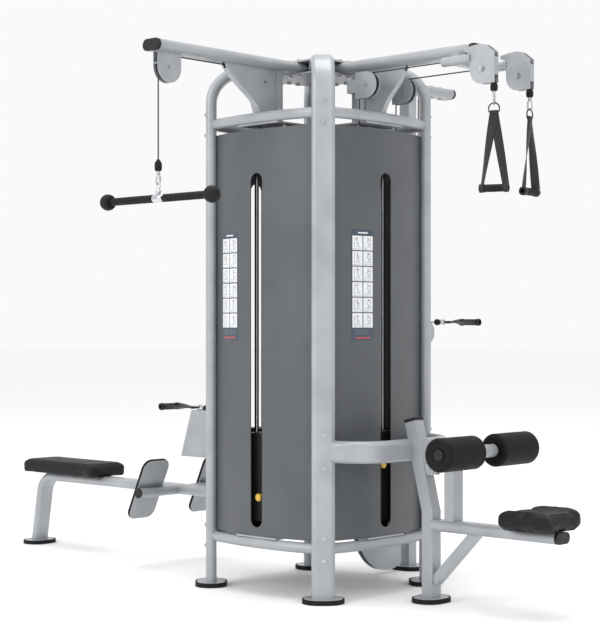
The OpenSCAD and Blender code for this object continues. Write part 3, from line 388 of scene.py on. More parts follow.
def seamTree():
    # stitches: one short thread every "Pitch" along a curve
    tree = bpy.data.node_groups.new("seamStitches", "GeometryNodeTree")
    for name, kind, default in (("Geometry", "NodeSocketGeometry", None), ("Pitch", "NodeSocketFloat", 0.008),
                                ("Thread radius", "NodeSocketFloat", 0.0007),
                                ("Stitch length", "NodeSocketFloat", 0.005),
                                ("Thread", "NodeSocketMaterial", None)):
        socket = tree.interface.new_socket(name, in_out="INPUT", socket_type=kind)
        if default is not None:
            socket.default_value = default
    tree.interface.new_socket("Geometry", in_out="OUTPUT", socket_type="NodeSocketGeometry")
    given = addNode(tree, "NodeGroupInput").outputs
    spots = addNode(tree, "GeometryNodeCurveToPoints", {"Curve": given["Geometry"], "Length": given["Pitch"]},
                    mode="LENGTH")
    thread = addNode(tree, "GeometryNodeMeshCylinder", {"Vertices": 6, "Side Segments": 1,
                                                        "Radius": given["Thread radius"],
                                                        "Depth": given["Stitch length"]})
    stitches = addNode(tree, "GeometryNodeInstanceOnPoints", {
        "Points": spots.outputs["Points"], "Instance": thread.outputs["Mesh"],
        "Rotation": spots.outputs["Rotation"]})
    real = addNode(tree, "GeometryNodeRealizeInstances", {"Geometry": stitches.outputs["Instances"]})
    coloured = addNode(tree, "GeometryNodeSetMaterial", {"Geometry": real.outputs["Geometry"],
                                                         "Material": given["Thread"]})
    addNode(tree, "NodeGroupOutput", {"Geometry": coloured.outputs["Geometry"]})
    return tree


def setInput(modifier, name, value):
    for item in modifier.node_group.interface.items_tree:
        if item.in_out == "INPUT" and item.name == name:
            modifier[item.identifier] = value


def runTree(name, source, tree, inputs):
    # puts the tree on the source object and turns its result into a plain mesh piece
    modifier = source.modifiers.new(tree.name, "NODES")
    modifier.node_group = tree
    for key, value in inputs.items():
        setInput(modifier, key, value)
    bpy.context.view_layer.update()
    mesh = bpy.data.meshes.new_from_object(source.evaluated_get(bpy.context.evaluated_depsgraph_get()))
    mesh.name = name
    bpy.data.objects.remove(source)
    piece = bpy.data.objects.new(name, mesh)
    scene.collection.objects.link(piece)
    return piece


stitchTree = seamTree()


def stitchLines(name, lines, pitch, closed):
    # runs of thread along each line of points
    curve = bpy.data.curves.new(name, "CURVE")
    curve.dimensions = "3D"
    for spots in lines:
        line = curve.splines.new("POLY")
        line.points.add(len(spots) - 1)
        for point, spot in zip(line.points, spots):
            point.co = (*spot, 1)
        line.use_cyclic_u = closed
    source = bpy.data.objects.new(name, curve)
    scene.collection.objects.link(source)
    return runTree(name, source, stitchTree, {"Pitch": pitch, "Stitch length": pitch * 0.62,
                                              "Thread": finish["seamThread"]})


def seamOn(cushion, name, outline, height, pitch):
    # a line of stitches round the cushion at one height, laid on its surface
    tree = BVHTree.FromObject(cushion, bpy.context.evaluated_depsgraph_get())
    centre = sum((Vector(v.co) for v in cushion.data.vertices), Vector()) / len(cushion.data.vertices)
    spots = []
    for x, y in outline:
        start = Vector((centre.x + x * 1.6, centre.y + y * 1.6, height))
        inward = (Vector((centre.x + x * 0.2, centre.y + y * 0.2, height)) - start).normalized()
        hit = tree.ray_cast(start, inward)[0]
        if hit:
            spots.append(hit - inward * 0.0003)
    return stitchLines(name, [spots], pitch, True)


def outlineOf(length, width, count=160):
    # a rounded rectangle as a superellipse
    made, power = [], 2 / 5
    for k in range(count):
        a = 2 * math.pi * k / count
        made.append((math.copysign(abs(math.cos(a)) ** power, math.cos(a)) * length / 2,
                     math.copysign(abs(math.sin(a)) ** power, math.sin(a)) * width / 2))
    return made


latSeat = {"inset": 0.004, "corner": 0.060, "edge": 0.030, "thick": 0.060, "side": 0.032, "back": 0.006, "under": 0.55,
           "pressure": 4.0, "cap": 0.009, "stitch": 0.009}
rowSeat = {"inset": 0.003, "corner": 0.034, "edge": 0.018, "thick": 0.060, "crown": 0.006, "under": 0.0,
           "pressure": 4.0, "cap": 0.010, "stitch": 0.009}


def makeCushion(name, node, spec, topShape):
    low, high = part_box(node)
    size = (high.x - low.x - 2 * spec["inset"], high.y - low.y - 2 * spec["inset"], spec["thick"])
    piece = roundedBox(size, spec["corner"], spec["edge"], lambda x, y: topShape(x / size[0], y / size[1]),
                       spec["under"], name)
    puffUp(piece, 0.005, spec["pressure"], spec["cap"])
    # the underside is flat where the pad sits on its board
    for vertex in piece.data.vertices:
        if vertex.co.z < 0.006:
            vertex.co.z = max(vertex.co.z, 0.0) * 0.2
    smoothLevels(piece)
    piece.data.transform(Matrix.Translation(((low.x + high.x) / 2, (low.y + high.y) / 2, low.z + 0.0005)))
    piece.data.materials.clear()
    piece.data.materials.append(finish["blackVinyl"])
    seam = seamOn(piece, name + "Stitches", outlineOf(size[0], size[1]),
                  low.z + spec["thick"] * 0.62, spec["stitch"])
    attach(piece, "frame")
    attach(seam, "frame")
    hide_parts(node)
    print(name, "made")
    return piece


makeCushion("latSeatPad", "lat_seat", latSeat,
            lambda u, v: latSeat["side"] * (2 * abs(v)) ** 2.2 + latSeat["back"] * (2 * max(u, 0)) ** 2)
makeCushion("rowBenchPad", "row_seat", rowSeat,
            lambda u, v: rowSeat["crown"] * (1 - (2 * v) ** 2) * (1 - (2 * u) ** 4))

rollerSpec = {"radius": 0.0728, "round": 0.013, "hubRadius": 0.024, "recess": 0.004, "squeeze": 0.0012}


def makeRollers():
    low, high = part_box("rollers")
    midX, midZ = (low.x + high.x) / 2, (low.z + high.z) / 2
    inner = 0.0705
    length = high.y - inner
    r, e = rollerSpec["radius"], rollerSpec["round"]
    profile = [(0.0194, 0.010), (0.030, 0.008), (r - e - 0.006, 0.001)]
    profile += [(r - e + e * math.sin(math.radians(a)), e - e * math.cos(math.radians(a))) for a in range(0, 91, 10)]
    for k in range(1, 24):
        t = k / 24
        profile.append((r + rollerSpec["squeeze"] * (math.sin(math.pi * t) - 1) * 0.5, e + (length - 2 * e) * t))
    profile += [(r - e + e * math.cos(math.radians(a)), length - e + e * math.sin(math.radians(a)))
                for a in range(0, 91, 10)]
    profile += [(r - e - 0.006, length - 0.001), (0.030, length - 0.008), (0.0194, length - 0.010)]
    for side, name in ((-1, "thighRollerNear"), (1, "thighRollerFar")):
        turn = Matrix.Translation((midX, side * inner, midZ)) @ Matrix.Rotation(math.radians(-90 * side), 4, "X")
        points, faces = placed(turnedShape(profile, 72), turn)
        piece = outwardFaces(pieceFrom(name, points, faces, finish["skinnedFoam"]))
        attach(piece, "roller_arm")
        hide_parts("rollers")
        cap = [(0, length - 0.012), (0.023, length - 0.012), (0.0255, length - 0.009), (0.0255, length - 0.005),
               (0.022, length - 0.003), (0, length - 0.0025)]
        points, faces = placed(turnedShape(cap, 40), turn)
        plug = outwardFaces(pieceFrom(name + "Plug", points, faces, finish["blackPlastic"]))
        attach(plug, "roller_arm")
    print("rollers made")


makeRollers()

barSpec = {"gripRadius": 0.0143, "ropeDepth": 0.0034, "ropePitch": 0.0165, "ballRadius": 0.0365, "rod": 0.0125}


def makeBar():
    low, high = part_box("bar_grips")
    midY, midZ = (low.y + high.y) / 2, (low.z + high.z) / 2
    half = (high.x - low.x) / 2
    ball = barSpec["ballRadius"]
    parts = []
    for side in (-1, 1):
        start, end = 0.031, half - ball - 0.026
        rows, segments = 260, 28
        points, faces = [], []
        for i in range(rows + 1):
            x = start + (end - start) * i / rows
            ease = min(1.0, (x - start) / 0.008, (end - x) / 0.008)
            for k in range(segments):
                a = 2 * math.pi * k / segments
                wave = 0.5 + 0.5 * math.cos(2 * (a - math.pi * x / barSpec["ropePitch"]))
                r = barSpec["gripRadius"] * (0.9 + 0.1 * ease) + barSpec["ropeDepth"] * ease * wave ** 0.6
                points.append(Vector((side * x, r * math.cos(a), r * math.sin(a))))
        for i in range(rows):
            for k in range(segments):
                n = (k + 1) % segments
                faces.append((i * segments + k, i * segments + n, (i + 1) * segments + n, (i + 1) * segments + k))
        faces.append(tuple(range(segments)))
        faces.append(tuple(range(rows * segments, (rows + 1) * segments)))
        parts.append((points, faces))
        profile = [(0, -0.024), (0.021, -0.024), (0.026, -0.0225)]
        profile += [(ball * math.cos(math.radians(a)), ball * math.sin(math.radians(a))) for a in range(-36, 90, 9)]
        profile.append((0, ball))
        turn = Matrix.Translation((side * (half - ball), 0, 0)) @ Matrix.Rotation(math.radians(90 * side), 4, "Y")
        parts.append(placed(turnedShape(profile, 48), turn))
    points, faces = joinParts([placed(p, Matrix.Translation((0, midY, midZ))) for p in parts])
    piece = outwardFaces(pieceFrom("barGripsAndBalls", points, faces, finish["gripRubber"]))
    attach(piece, "bar")
    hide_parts("bar_grips")
    # rod with its hub, welded stem and eye
    rod, hub = barSpec["rod"], 0.0178
    reach = half - ball - 0.004
    profile = [(0, -reach), (rod, -reach), (rod, -0.030), (hub - 0.003, -0.029), (hub, -0.025), (hub, 0.025),
               (hub - 0.003, 0.029), (rod, 0.030), (rod, reach), (0, reach)]
    across = Matrix.Rotation(math.radians(90), 4, "Y")
    stem = [(0, 0.012), (0.010, 0.012), (0.010, 0.026), (0.013, 0.028), (0.013, 0.033), (0.007, 0.036),
            (0.007, 0.042), (0, 0.043)]
    eye = tubeAlong(arcPoints((0, 0, 0.054), 0.0125, 0, 348.75, 31), 0.003, 12, closed=True)
    parts = [placed(turnedShape(profile, 48), across), turnedShape(stem, 32), eye]
    points, faces = joinParts([placed(p, Matrix.Translation((0, midY, midZ))) for p in parts])
    steel = outwardFaces(pieceFrom("pullBarRod", points, faces, finish["chromedSteel"]))
    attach(steel, "bar")
    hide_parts("bar_rod")
    hangFittings("bar", "bar", Matrix.Translation((0, midY, midZ + 0.064)), 0.050, 0.052, False)
    print("pull bar made")


def linkPath(low, high, halfWidth):
    # the wire of a snap link in the YZ plane: round at its foot, narrower at its head
    head = halfWidth * 0.62
    return (arcPoints((0, 0, high - head), head, 0, 180, 12, "yz")
            + arcPoints((0, 0, low + halfWidth), halfWidth, 180, 360, 12, "yz"))


def hangFittings(name, body, matrix, linkLength, stopLength, withRing, ringHalf=0.0235):
    # from the strap or eye upwards: a D ring, a snap link with its gate, and the ball stop on the cable's end
    base = -0.003
    if withRing:
        d = [(-ringHalf, 0, -0.009), (0, 0, -0.009), (ringHalf, 0, -0.009)]
        d += arcPoints((0, 0, 0.004), ringHalf, 0, 180, 20)
        points, faces = placed(tubeAlong(d, 0.0030, 10, closed=True), matrix)
        ring = outwardFaces(pieceFrom(name + "Ring", points, faces, finish["blackOxideSteel"]))
        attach(ring, body)
        base = 0.021
    top = base + linkLength
    parts = [tubeAlong(linkPath(base, top, 0.0115), 0.0033, 12, closed=True)]
    gate = [(0, base + 0.014), (0.0042, base + 0.014), (0.0046, base + 0.016), (0.0046, top - 0.016),
            (0.0042, top - 0.014), (0, top - 0.014)]
    parts.append(placed(turnedShape(gate, 20), Matrix.Translation((0, 0.0100, 0))))
    neck = [(0, top - 0.009), (0.0055, top - 0.009), (0.0060, top - 0.001), (0.0075, top + 0.002),
            (0.0075, top + 0.010), (0, top + 0.010)]
    parts.append(turnedShape(neck, 24))
    points, faces = joinParts([placed(p, matrix) for p in parts])
    steel = outwardFaces(pieceFrom(name + "SnapLink", points, faces, finish["zincPlate"]))
    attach(steel, body)
    start = top + 0.006
    bell = [(0, start), (0.010, start), (0.0145, start + 0.003), (0.0160, start + 0.010),
            (0.0160, start + stopLength * 0.60), (0.0130, start + stopLength * 0.76),
            (0.0060, start + stopLength * 0.95), (0.0038, start + stopLength), (0, start + stopLength)]
    points, faces = placed(turnedShape(bell, 32), matrix)
    stop = outwardFaces(pieceFrom(name + "CableStop", points, faces, finish["mouldedRubber"]))
    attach(stop, body)
    return start + stopLength


makeBar()

handleSpec = {"grip": 0.0160, "gripHalf": 0.0645, "width": 0.0380, "footHalf": 0.0640, "twist": 55.0,
              "layer": 0.0016, "sleeve": 0.0026, "sleeveWidth": 0.0215}
# each hanging handle: its turn about the cable, and which way its legs twist
hanging = {"near": (20, 1), "far": (95, -1)}
hangDrop, levelDrop = 0.330, 0.190


def webbingLeg(side, drop, twist):
    # one leg of the strap, lying flat below the ring and twisting towards the grip's end; its UV is in metres
    s = handleSpec
    points, faces, metres = [], [], []
    rows, w = 40, s["width"] / 2
    last = s["footHalf"] - w * math.cos(math.radians(s["twist"]))
    for i in range(rows + 1):
        z = -0.0035 - (drop - 0.0140) * i / rows
        fall = min(1.0, max(0.0, (-z - 0.014) / (drop - 0.014)))
        turn = side * twist * math.radians(s["twist"]) * fall * fall * (3 - 2 * fall)
        fold = math.exp(-((z + 0.009) / 0.0045) ** 2) * 0.0042
        h, shift = s["layer"] + fold, side * 0.0013 * max(0.0, 1 - 2.2 * fall)
        e = min(0.0012, h)
        for x, y in ((-w, -h * 0.4), (e - w, -h), (0, -h * 1.06), (w - e, -h), (w, -h * 0.4), (w, h * 0.4),
                     (w - e, h), (0, h * 1.06), (e - w, h), (-w, h * 0.4)):
            points.append(Vector((side * last * fall + x * math.cos(turn) - y * math.sin(turn),
                                  x * math.sin(turn) + y * math.cos(turn) + shift, z)))
            metres.append((x, -z))
    n = 10
    for i in range(rows):
        for k in range(n):
            m = (k + 1) % n
            faces.append((i * n + k, i * n + m, (i + 1) * n + m, (i + 1) * n + k))
    faces.append(tuple(range(n)))
    faces.append(tuple(range(rows * n, (rows + 1) * n)))
    return points, faces, metres


def webbingSleeve(side, drop, twist):
    # where a leg wraps round the end of the grip
    s = handleSpec
    r, g = s["grip"], s["gripHalf"]
    low, high = g - s["sleeveWidth"], g - 0.0015
    profile = [(r - 0.001, low), (r + s["sleeve"] - 0.0006, low), (r + s["sleeve"], low + 0.0010),
               (r + s["sleeve"], high - 0.0010), (r + s["sleeve"] - 0.0006, high), (r - 0.001, high)]
    part = turnedShape(profile, 40)
    turn = Matrix.Translation((0, 0, -drop - 0.002)) @ Matrix.Rotation(math.radians(90 * side), 4, "Y")
    metres = [(p.z, math.atan2(p.y, p.x) * r) for p in part[0]]
    return (*placed(part, turn), metres)


def makeHandle(name, node, body, matrix, drop, linkLength, stopLength, twist=1, link=None):
    parts = [maker(side, drop, twist) for maker in (webbingLeg, webbingSleeve) for side in (-1, 1)]
    points, faces = joinParts([part[:2] for part in parts])
    metres = [uv for part in parts for uv in part[2]]
    strap = pieceFrom(name + "Strap", [matrix @ p for p in points], faces, finish["blackWebbing"])
    layer = strap.data.uv_layers.new(name="strapMetres")
    for loop in strap.data.loops:
        layer.data[loop.index].uv = metres[loop.vertex_index]
    outwardFaces(strap, 1e-8)
    g, r = handleSpec["gripHalf"], handleSpec["grip"]
    profile = [(0.0085, -g + 0.004), (0.0085, -g), (r - 0.0025, -g), (r, -g + 0.0025)]
    for k in range(1, 60):
        t = k / 60
        rib = 0.0006 * (0.5 + 0.5 * math.cos(2 * math.pi * t * 14))
        profile.append((r - 0.0006 + rib + 0.0007 * math.sin(math.pi * t), -g + 0.004 + (2 * g - 0.008) * t))
    profile += [(r, g - 0.0025), (r - 0.0025, g), (0.0085, g), (0.0085, g - 0.004)]
    turn = Matrix.Translation((0, 0, -drop - 0.002)) @ Matrix.Rotation(math.radians(90), 4, "Y")
    points, faces = placed(turnedShape(profile, 36), matrix @ turn)
    grip = outwardFaces(pieceFrom(name + "Grip", points, faces, finish["gripRubber"]))
    # the sewn box that holds the two layers together below the ring
    box = []
    for y in (-0.0036, 0.0036):
        corners = [(-0.013, -0.024), (0.013, -0.024), (0.013, -0.062), (-0.013, -0.062)]
        for (x0, z0), (x1, z1) in zip(corners, corners[1:] + corners[:1]):
            box.append([matrix @ Vector((x0 + (x1 - x0) * k / 6, y, z0 + (z1 - z0) * k / 6)) for k in range(7)])
    seam = stitchLines(name + "Stitches", box, 0.0045, False)
    for piece, slot in ((strap, "webbing"), (grip, "grip_rubber"), (seam, "webbing")):
        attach(piece, body)
    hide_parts(node)
    if link:
        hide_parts(link)
    return hangFittings(name, body, matrix, linkLength, stopLength, True)


cableSpec = {"radius": 0.0031, "rings": 60}


def makeCable(name, start, end, replaced=None):
    # a straight run of cable between two points
    start, end = Vector(start), Vector(end)
    path = [start.lerp(end, k / cableSpec["rings"]) for k in range(cableSpec["rings"] + 1)]
    points, faces = tubeAlong(path, cableSpec["radius"], 14)
    piece = outwardFaces(pieceFrom(name, points, faces, finish["cableJacket"]))
    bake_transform(piece)
    if replaced:
        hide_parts(replaced)
    return piece


def boxMiddle(node):
    low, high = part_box(node)
    return (low + high) / 2


def makeHandles():
    for key, (turn, twist) in hanging.items():
        low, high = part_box("handle_" + key)
        apex = Vector(((low.x + high.x) / 2, (low.y + high.y) / 2, high.z + 0.0123))
        matrix = Matrix.Translation(apex) @ Matrix.Rotation(math.radians(turn), 4, "Z")
        top = makeHandle(key + "Handle", "handle_" + key, "handle_" + key, matrix, hangDrop, 0.050, 0.042,
                         twist, "link_" + key)
        makeCable(key + "HandleCable", (apex.x, apex.y, boxMiddle("pulley_" + key).z),
                  (apex.x, apex.y, apex.z + top - 0.002))
    low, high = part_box("handle_adjust")
    middle = boxMiddle("handle_adjust")
    level = levelDrop
    apexY = high.y - 0.016 - level - 0.002
    matrix = Matrix.Translation((0, apexY, middle.z)) @ Matrix.Rotation(math.radians(90), 4, "X")
    top = makeHandle("adjustHandle", "handle_adjust", "handle_adjust", matrix, level, 0.046, 0.034)
    makeCable("adjustHandleCable", (0, low.y, middle.z), (0, apexY - top + 0.002, middle.z))
    low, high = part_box("handle_row")
    middle = boxMiddle("handle_row")
    apexX = low.x + 0.016 + level + 0.002
    matrix = (Matrix.Translation((apexX, 0, middle.z)) @ Matrix.Rotation(math.radians(90), 4, "Y")
              @ Matrix.Rotation(math.radians(90), 4, "Z"))
    top = makeHandle("rowHandle", "handle_row", "handle_row", matrix, level, 0.046, 0.034)
    makeCable("rowHandleCable", (high.x, 0, middle.z), (apexX + top - 0.002, 0, middle.z))
    # bar and stacks
    low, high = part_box("bar_rod")
    barY = (low.y + high.y) / 2
    makeCable("barCable", (0, barY, high.z), (0, barY, boxMiddle("bar_grips").z + 0.064 + 0.050 + 0.050))
    for key in ("high", "adjust", "row"):
        low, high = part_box("cable_drop_" + key)
        x, y = (low.x + high.x) / 2, (low.y + high.y) / 2
        makeCable(key + "StackCable", (x, y, high.z), (x, y, low.z), "cable_drop_" + key)
    low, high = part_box("cable_drop_lat")
    x = (low.x + high.x) / 2
    for key, y in (("Near", low.y + 0.003), ("Far", high.y - 0.003)):
        makeCable("latStackCable" + key, (x, y, high.z), (x, y, low.z), "cable_drop_lat")
    print("handles and cables made")


makeHandles()

shroudArc = {"halfWidth": 0.3195, "bow": 0.055, "off": 0.420}
placardSpec = {"width": 0.130, "low": 1.165, "high": 1.665, "border": 0.006, "header": 0.028, "footer": 0.058,
               "rows": 6, "columns": 2, "gap": 0.005}


def onShroud(side, u, z, proud):
    # a point on a shroud's outer face, u across it and z up, standing proud by that much
    w, bow, off = shroudArc["halfWidth"], shroudArc["bow"], shroudArc["off"]
    r = (w * w + bow * bow) / (2 * bow)
    a = math.asin(u / r)
    x, d = (r + proud) * math.sin(a), (r + proud) * math.cos(a) - (r - off)
    return Vector((x, -d, z)) if side == "high" else Vector((d, x, z))


def cardPart(side, u0, u1, z0, z1, low, high):
    # a thin slab bent to the shroud, from one depth to another
    steps = max(2, int((u1 - u0) / 0.008))
    points, faces = [], []
    for k in range(steps + 1):
        u = u0 + (u1 - u0) * k / steps
        points += [onShroud(side, u, z0, low), onShroud(side, u, z1, low), onShroud(side, u, z1, high),
                   onShroud(side, u, z0, high)]
    for k in range(steps):
        for m in range(4):
            n = (m + 1) % 4
            faces.append((4 * k + m, 4 * k + n, 4 * k + 4 + n, 4 * k + 4 + m))
    faces += [(3, 2, 1, 0), (4 * steps, 4 * steps + 1, 4 * steps + 2, 4 * steps + 3)]
    return points, faces


def strokePart(side, start, end, width, low, high):
    # a flat ink stroke between two (u, z) points
    across = Vector((end[1] - start[1], start[0] - end[0]))
    across = across.normalized() * width / 2
    corners = [(start[0] - across.x, start[1] - across.y), (end[0] - across.x, end[1] - across.y),
               (end[0] + across.x, end[1] + across.y), (start[0] + across.x, start[1] + across.y)]
    points = [onShroud(side, u, z, low) for u, z in corners] + [onShroud(side, u, z, high) for u, z in corners]
    faces = [(3, 2, 1, 0), (4, 5, 6, 7)] + [(k, (k + 1) % 4, 4 + (k + 1) % 4, 4 + k) for k in range(4)]
    return points, faces


def figureStrokes(kind, u, z, size):
    # a plain stick figure at a machine: strokes for the body, the machine and a red mark on the worked limb
    joints = {"head": (0.0, 0.36), "neck": (0.0, 0.26), "hip": (0.0, -0.05), "knee": (0.14, -0.16),
              "foot": (0.12, -0.38)}
    hand = [(0.22, 0.30), (0.26, 0.12), (0.24, -0.04), (0.20, 0.40), (-0.20, 0.30), (0.28, 0.20)][kind % 6]
    lean = [0.0, 0.06, -0.06, 0.03, -0.03, 0.08][(kind * 5 + 2) % 6]
    at = lambda p: (u + (p[0] + lean * p[1]) * size, z + p[1] * size)
    body = [(joints["neck"], joints["hip"]), (joints["hip"], joints["knee"]), (joints["knee"], joints["foot"])]
    grey = [(at(a), at(b), 0.055 * size) for a, b in body]
    grey.append((at((-0.04, 0.36)), at((0.06, 0.36)), 0.12 * size))
    grey.append(((u - 0.30 * size, z - 0.42 * size), (u + 0.32 * size, z - 0.42 * size), 0.03 * size))
    post = 0.32 if kind % 2 else -0.30
    grey.append(((u + post * size, z - 0.42 * size), (u + post * size, z + 0.40 * size), 0.035 * size))
    red = [(at(joints["neck"]), at(hand), 0.06 * size)]
    return grey, red


def makePlacard(name, side, centreU):
    s = placardSpec
    u0, u1 = centreU - s["width"] / 2, centreU + s["width"] / 2
    card = cardPart(side, u0, u1, s["low"], s["high"], 0.0001, 0.0008)
    white, grey, red = [], [], []
    innerLow, innerHigh = s["low"] + s["footer"], s["high"] - s["header"]
    cellW = (u1 - u0 - 2 * s["border"] - (s["columns"] - 1) * s["gap"]) / s["columns"]
    cellH = (innerHigh - innerLow - (s["rows"] - 1) * s["gap"]) / s["rows"]
    for row in range(s["rows"]):
        for column in range(s["columns"]):
            a = u0 + s["border"] + column * (cellW + s["gap"])
            b = innerLow + row * (cellH + s["gap"])
            white.append(cardPart(side, a, a + cellW, b, b + cellH, 0.0007, 0.0010))
            kind = row * s["columns"] + column
            strokesGrey, strokesRed = figureStrokes(kind, a + cellW * 0.46, b + cellH * 0.56, cellH * 0.78)
            grey += [strokePart(side, p, q, w, 0.0009, 0.0012) for p, q, w in strokesGrey]
            red += [strokePart(side, p, q, w, 0.0009, 0.0013) for p, q, w in strokesRed]
            for line in range(2):
                z = b + cellH * (0.10 - 0.05 * line)
                grey.append(strokePart(side, (a + cellW * 0.12, z), (a + cellW * (0.85 - 0.25 * line), z), 0.0012,
                                       0.0009, 0.0012))
    top, foot = s["high"] - s["header"] / 2, s["low"] + s["footer"]
    white.append(cardPart(side, centreU - 0.028, centreU + 0.028, top - 0.003, top + 0.003, 0.0007, 0.0010))
    for k in range(3):
        grey.append(cardPart(side, u0 + 0.018, u1 - 0.018 - 0.012 * k, foot - 0.014 - 0.008 * k,
                             foot - 0.012 - 0.008 * k, 0.0007, 0.0010))
    red.append(cardPart(side, centreU - 0.045, centreU + 0.045, s["low"] + 0.008, s["low"] + 0.015, 0.0007, 0.0010))
    for suffix, parts, material in (("Card", [card], "placardSlate"), ("Cells", white, "placardWhite"),
                                    ("Figures", grey, "inkGrey"), ("Marks", red, "inkRed")):
        points, faces = joinParts(parts)
        piece = outwardFaces(pieceFrom(name + suffix, points, faces, finish[material], smooth=False), 1e-7)
        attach(piece, "frame")


makePlacard("highPlacard", "high", -0.1925)
makePlacard("latPlacard", "lat", -0.148)
print("placards made")


def boltTree():
    # a washer and a domed hex head at each point, turned along the point's "facing"
    tree = bpy.data.node_groups.new("washeredBolts", "GeometryNodeTree")
    for name, kind, default in (("Geometry", "NodeSocketGeometry", None),
                                ("Head radius", "NodeSocketFloat", 0.0085),
                                ("Head height", "NodeSocketFloat", 0.006),
                                ("Washer radius", "NodeSocketFloat", 0.0115),
                                ("Washer height", "NodeSocketFloat", 0.002),
                                ("Plating", "NodeSocketMaterial", None)):
        socket = tree.interface.new_socket(name, in_out="INPUT", socket_type=kind)
        if default is not None:
            socket.default_value = default
    tree.interface.new_socket("Geometry", in_out="OUTPUT", socket_type="NodeSocketGeometry")
    given = addNode(tree, "NodeGroupInput").outputs
    washer = addNode(tree, "GeometryNodeMeshCylinder", {"Vertices": 24, "Radius": given["Washer radius"],
                                                        "Depth": given["Washer height"]})
    head = addNode(tree, "GeometryNodeMeshCylinder", {"Vertices": 6, "Radius": given["Head radius"],
                                                      "Depth": given["Head height"]})
    rise = addNode(tree, "ShaderNodeCombineXYZ", {"Z": given["Head height"]})
    half = addNode(tree, "ShaderNodeVectorMath", {0: rise.outputs["Vector"], "Scale": 0.5}, operation="SCALE")
    lifted = addNode(tree, "GeometryNodeTransform", {"Geometry": head.outputs["Mesh"],
                                                     "Translation": half.outputs["Vector"]})
    bolt = addNode(tree, "GeometryNodeJoinGeometry")
    tree.links.new(washer.outputs["Mesh"], bolt.inputs["Geometry"])
    tree.links.new(lifted.outputs["Geometry"], bolt.inputs["Geometry"])
    facing = addNode(tree, "GeometryNodeInputNamedAttribute", {"Name": "facing"}, data_type="FLOAT_VECTOR")
    turn = addNode(tree, "FunctionNodeAlignRotationToVector", {"Vector": facing.outputs["Attribute"]}, axis="Z")
    spread = addNode(tree, "GeometryNodeInstanceOnPoints", {
        "Points": given["Geometry"], "Instance": bolt.outputs["Geometry"], "Rotation": turn.outputs["Rotation"]})
    real = addNode(tree, "GeometryNodeRealizeInstances", {"Geometry": spread.outputs["Instances"]})
    coloured = addNode(tree, "GeometryNodeSetMaterial", {"Geometry": real.outputs["Geometry"],
                                                         "Material": given["Plating"]})
    addNode(tree, "NodeGroupOutput", {"Geometry": coloured.outputs["Geometry"]})
    return tree


def pointsWith(name, spots):
    mesh = bpy.data.meshes.new(name)
    mesh.from_pydata([tuple(p) for p, _ in spots], [], [])
    facing = mesh.attributes.new("facing", "FLOAT_VECTOR", "POINT")
    facing.data.foreach_set("vector", [c for _, n in spots for c in n])
    source = bpy.data.objects.new(name, mesh)
    scene.collection.objects.link(source)
    return source


boltGroup = boltTree()
boltSpec = {"columnOff": 0.360, "columnHalf": 0.0262, "yokeHeights": (0.600, 0.744), "railLow": (0.190, 0.288),
            "railHigh": (2.135, 2.232)}


def makeBolts():
    spots = []
    c = boltSpec["columnOff"]
    for sx in (-1, 1):
        for sy in (-1, 1):
            out = Vector((sx, sy, 0)).normalized()
            for z in boltSpec["railLow"] + boltSpec["railHigh"]:
                spots.append((Vector((sx * c, sy * c, z)) + out * boltSpec["columnHalf"], out))
            if sx > 0:
                for z in boltSpec["yokeHeights"]:
                    spots.append((Vector((sx * c, sy * c, z)) + out * boltSpec["columnHalf"], out))
    piece = runTree("frameBolts", pointsWith("frameBolts", spots), boltGroup, {"Plating": finish["zincPlate"]})
    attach(piece, "frame")
    # hex heads on the axle ends of each pulley
    for name, body, pulley in (("nearSwivelBolts", "swivel_near", "pulley_near"),
                               ("farSwivelBolts", "swivel_far", "pulley_far")):
        centre = boxMiddle(pulley)
        low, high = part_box(body)
        spots = [(Vector((centre.x, low.y + 0.004, centre.z)), Vector((0, -1, 0))),
                 (Vector((centre.x, high.y - 0.004, centre.z)), Vector((0, 1, 0)))]
        piece = runTree(name, pointsWith(name, spots), boltGroup, {"Plating": finish["zincPlate"]})
        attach(piece, body)
    print("bolts made")


makeBolts()


def ribTree():
    # raised bars at the points, each as long as its "reach"
    tree = bpy.data.node_groups.new("treadBars", "GeometryNodeTree")
    for name, kind, default in (("Geometry", "NodeSocketGeometry", None), ("Bar width", "NodeSocketFloat", 0.006),
                                ("Bar height", "NodeSocketFloat", 0.003), ("Tilt", "NodeSocketFloat", 0.0),
                                ("Rubber", "NodeSocketMaterial", None)):
        socket = tree.interface.new_socket(name, in_out="INPUT", socket_type=kind)
        if default is not None:
            socket.default_value = default
    tree.interface.new_socket("Geometry", in_out="OUTPUT", socket_type="NodeSocketGeometry")
    given = addNode(tree, "NodeGroupInput").outputs
    size = addNode(tree, "ShaderNodeCombineXYZ", {"X": given["Bar height"], "Y": 1.0, "Z": given["Bar width"]})
    bar = addNode(tree, "GeometryNodeMeshCube", {"Size": size.outputs["Vector"]})
    reach = addNode(tree, "GeometryNodeInputNamedAttribute", {"Name": "reach"}, data_type="FLOAT")
    stretch = addNode(tree, "ShaderNodeCombineXYZ", {"X": 1.0, "Y": reach.outputs["Attribute"], "Z": 1.0})
    lean = addNode(tree, "ShaderNodeCombineXYZ", {"Y": given["Tilt"]})
    spread = addNode(tree, "GeometryNodeInstanceOnPoints", {
        "Points": given["Geometry"], "Instance": bar.outputs["Mesh"], "Rotation": lean.outputs["Vector"],
        "Scale": stretch.outputs["Vector"]})
    real = addNode(tree, "GeometryNodeRealizeInstances", {"Geometry": spread.outputs["Instances"]})
    coloured = addNode(tree, "GeometryNodeSetMaterial", {"Geometry": real.outputs["Geometry"],
                                                         "Material": given["Rubber"]})
    addNode(tree, "NodeGroupOutput", {"Geometry": coloured.outputs["Geometry"]})
    return tree


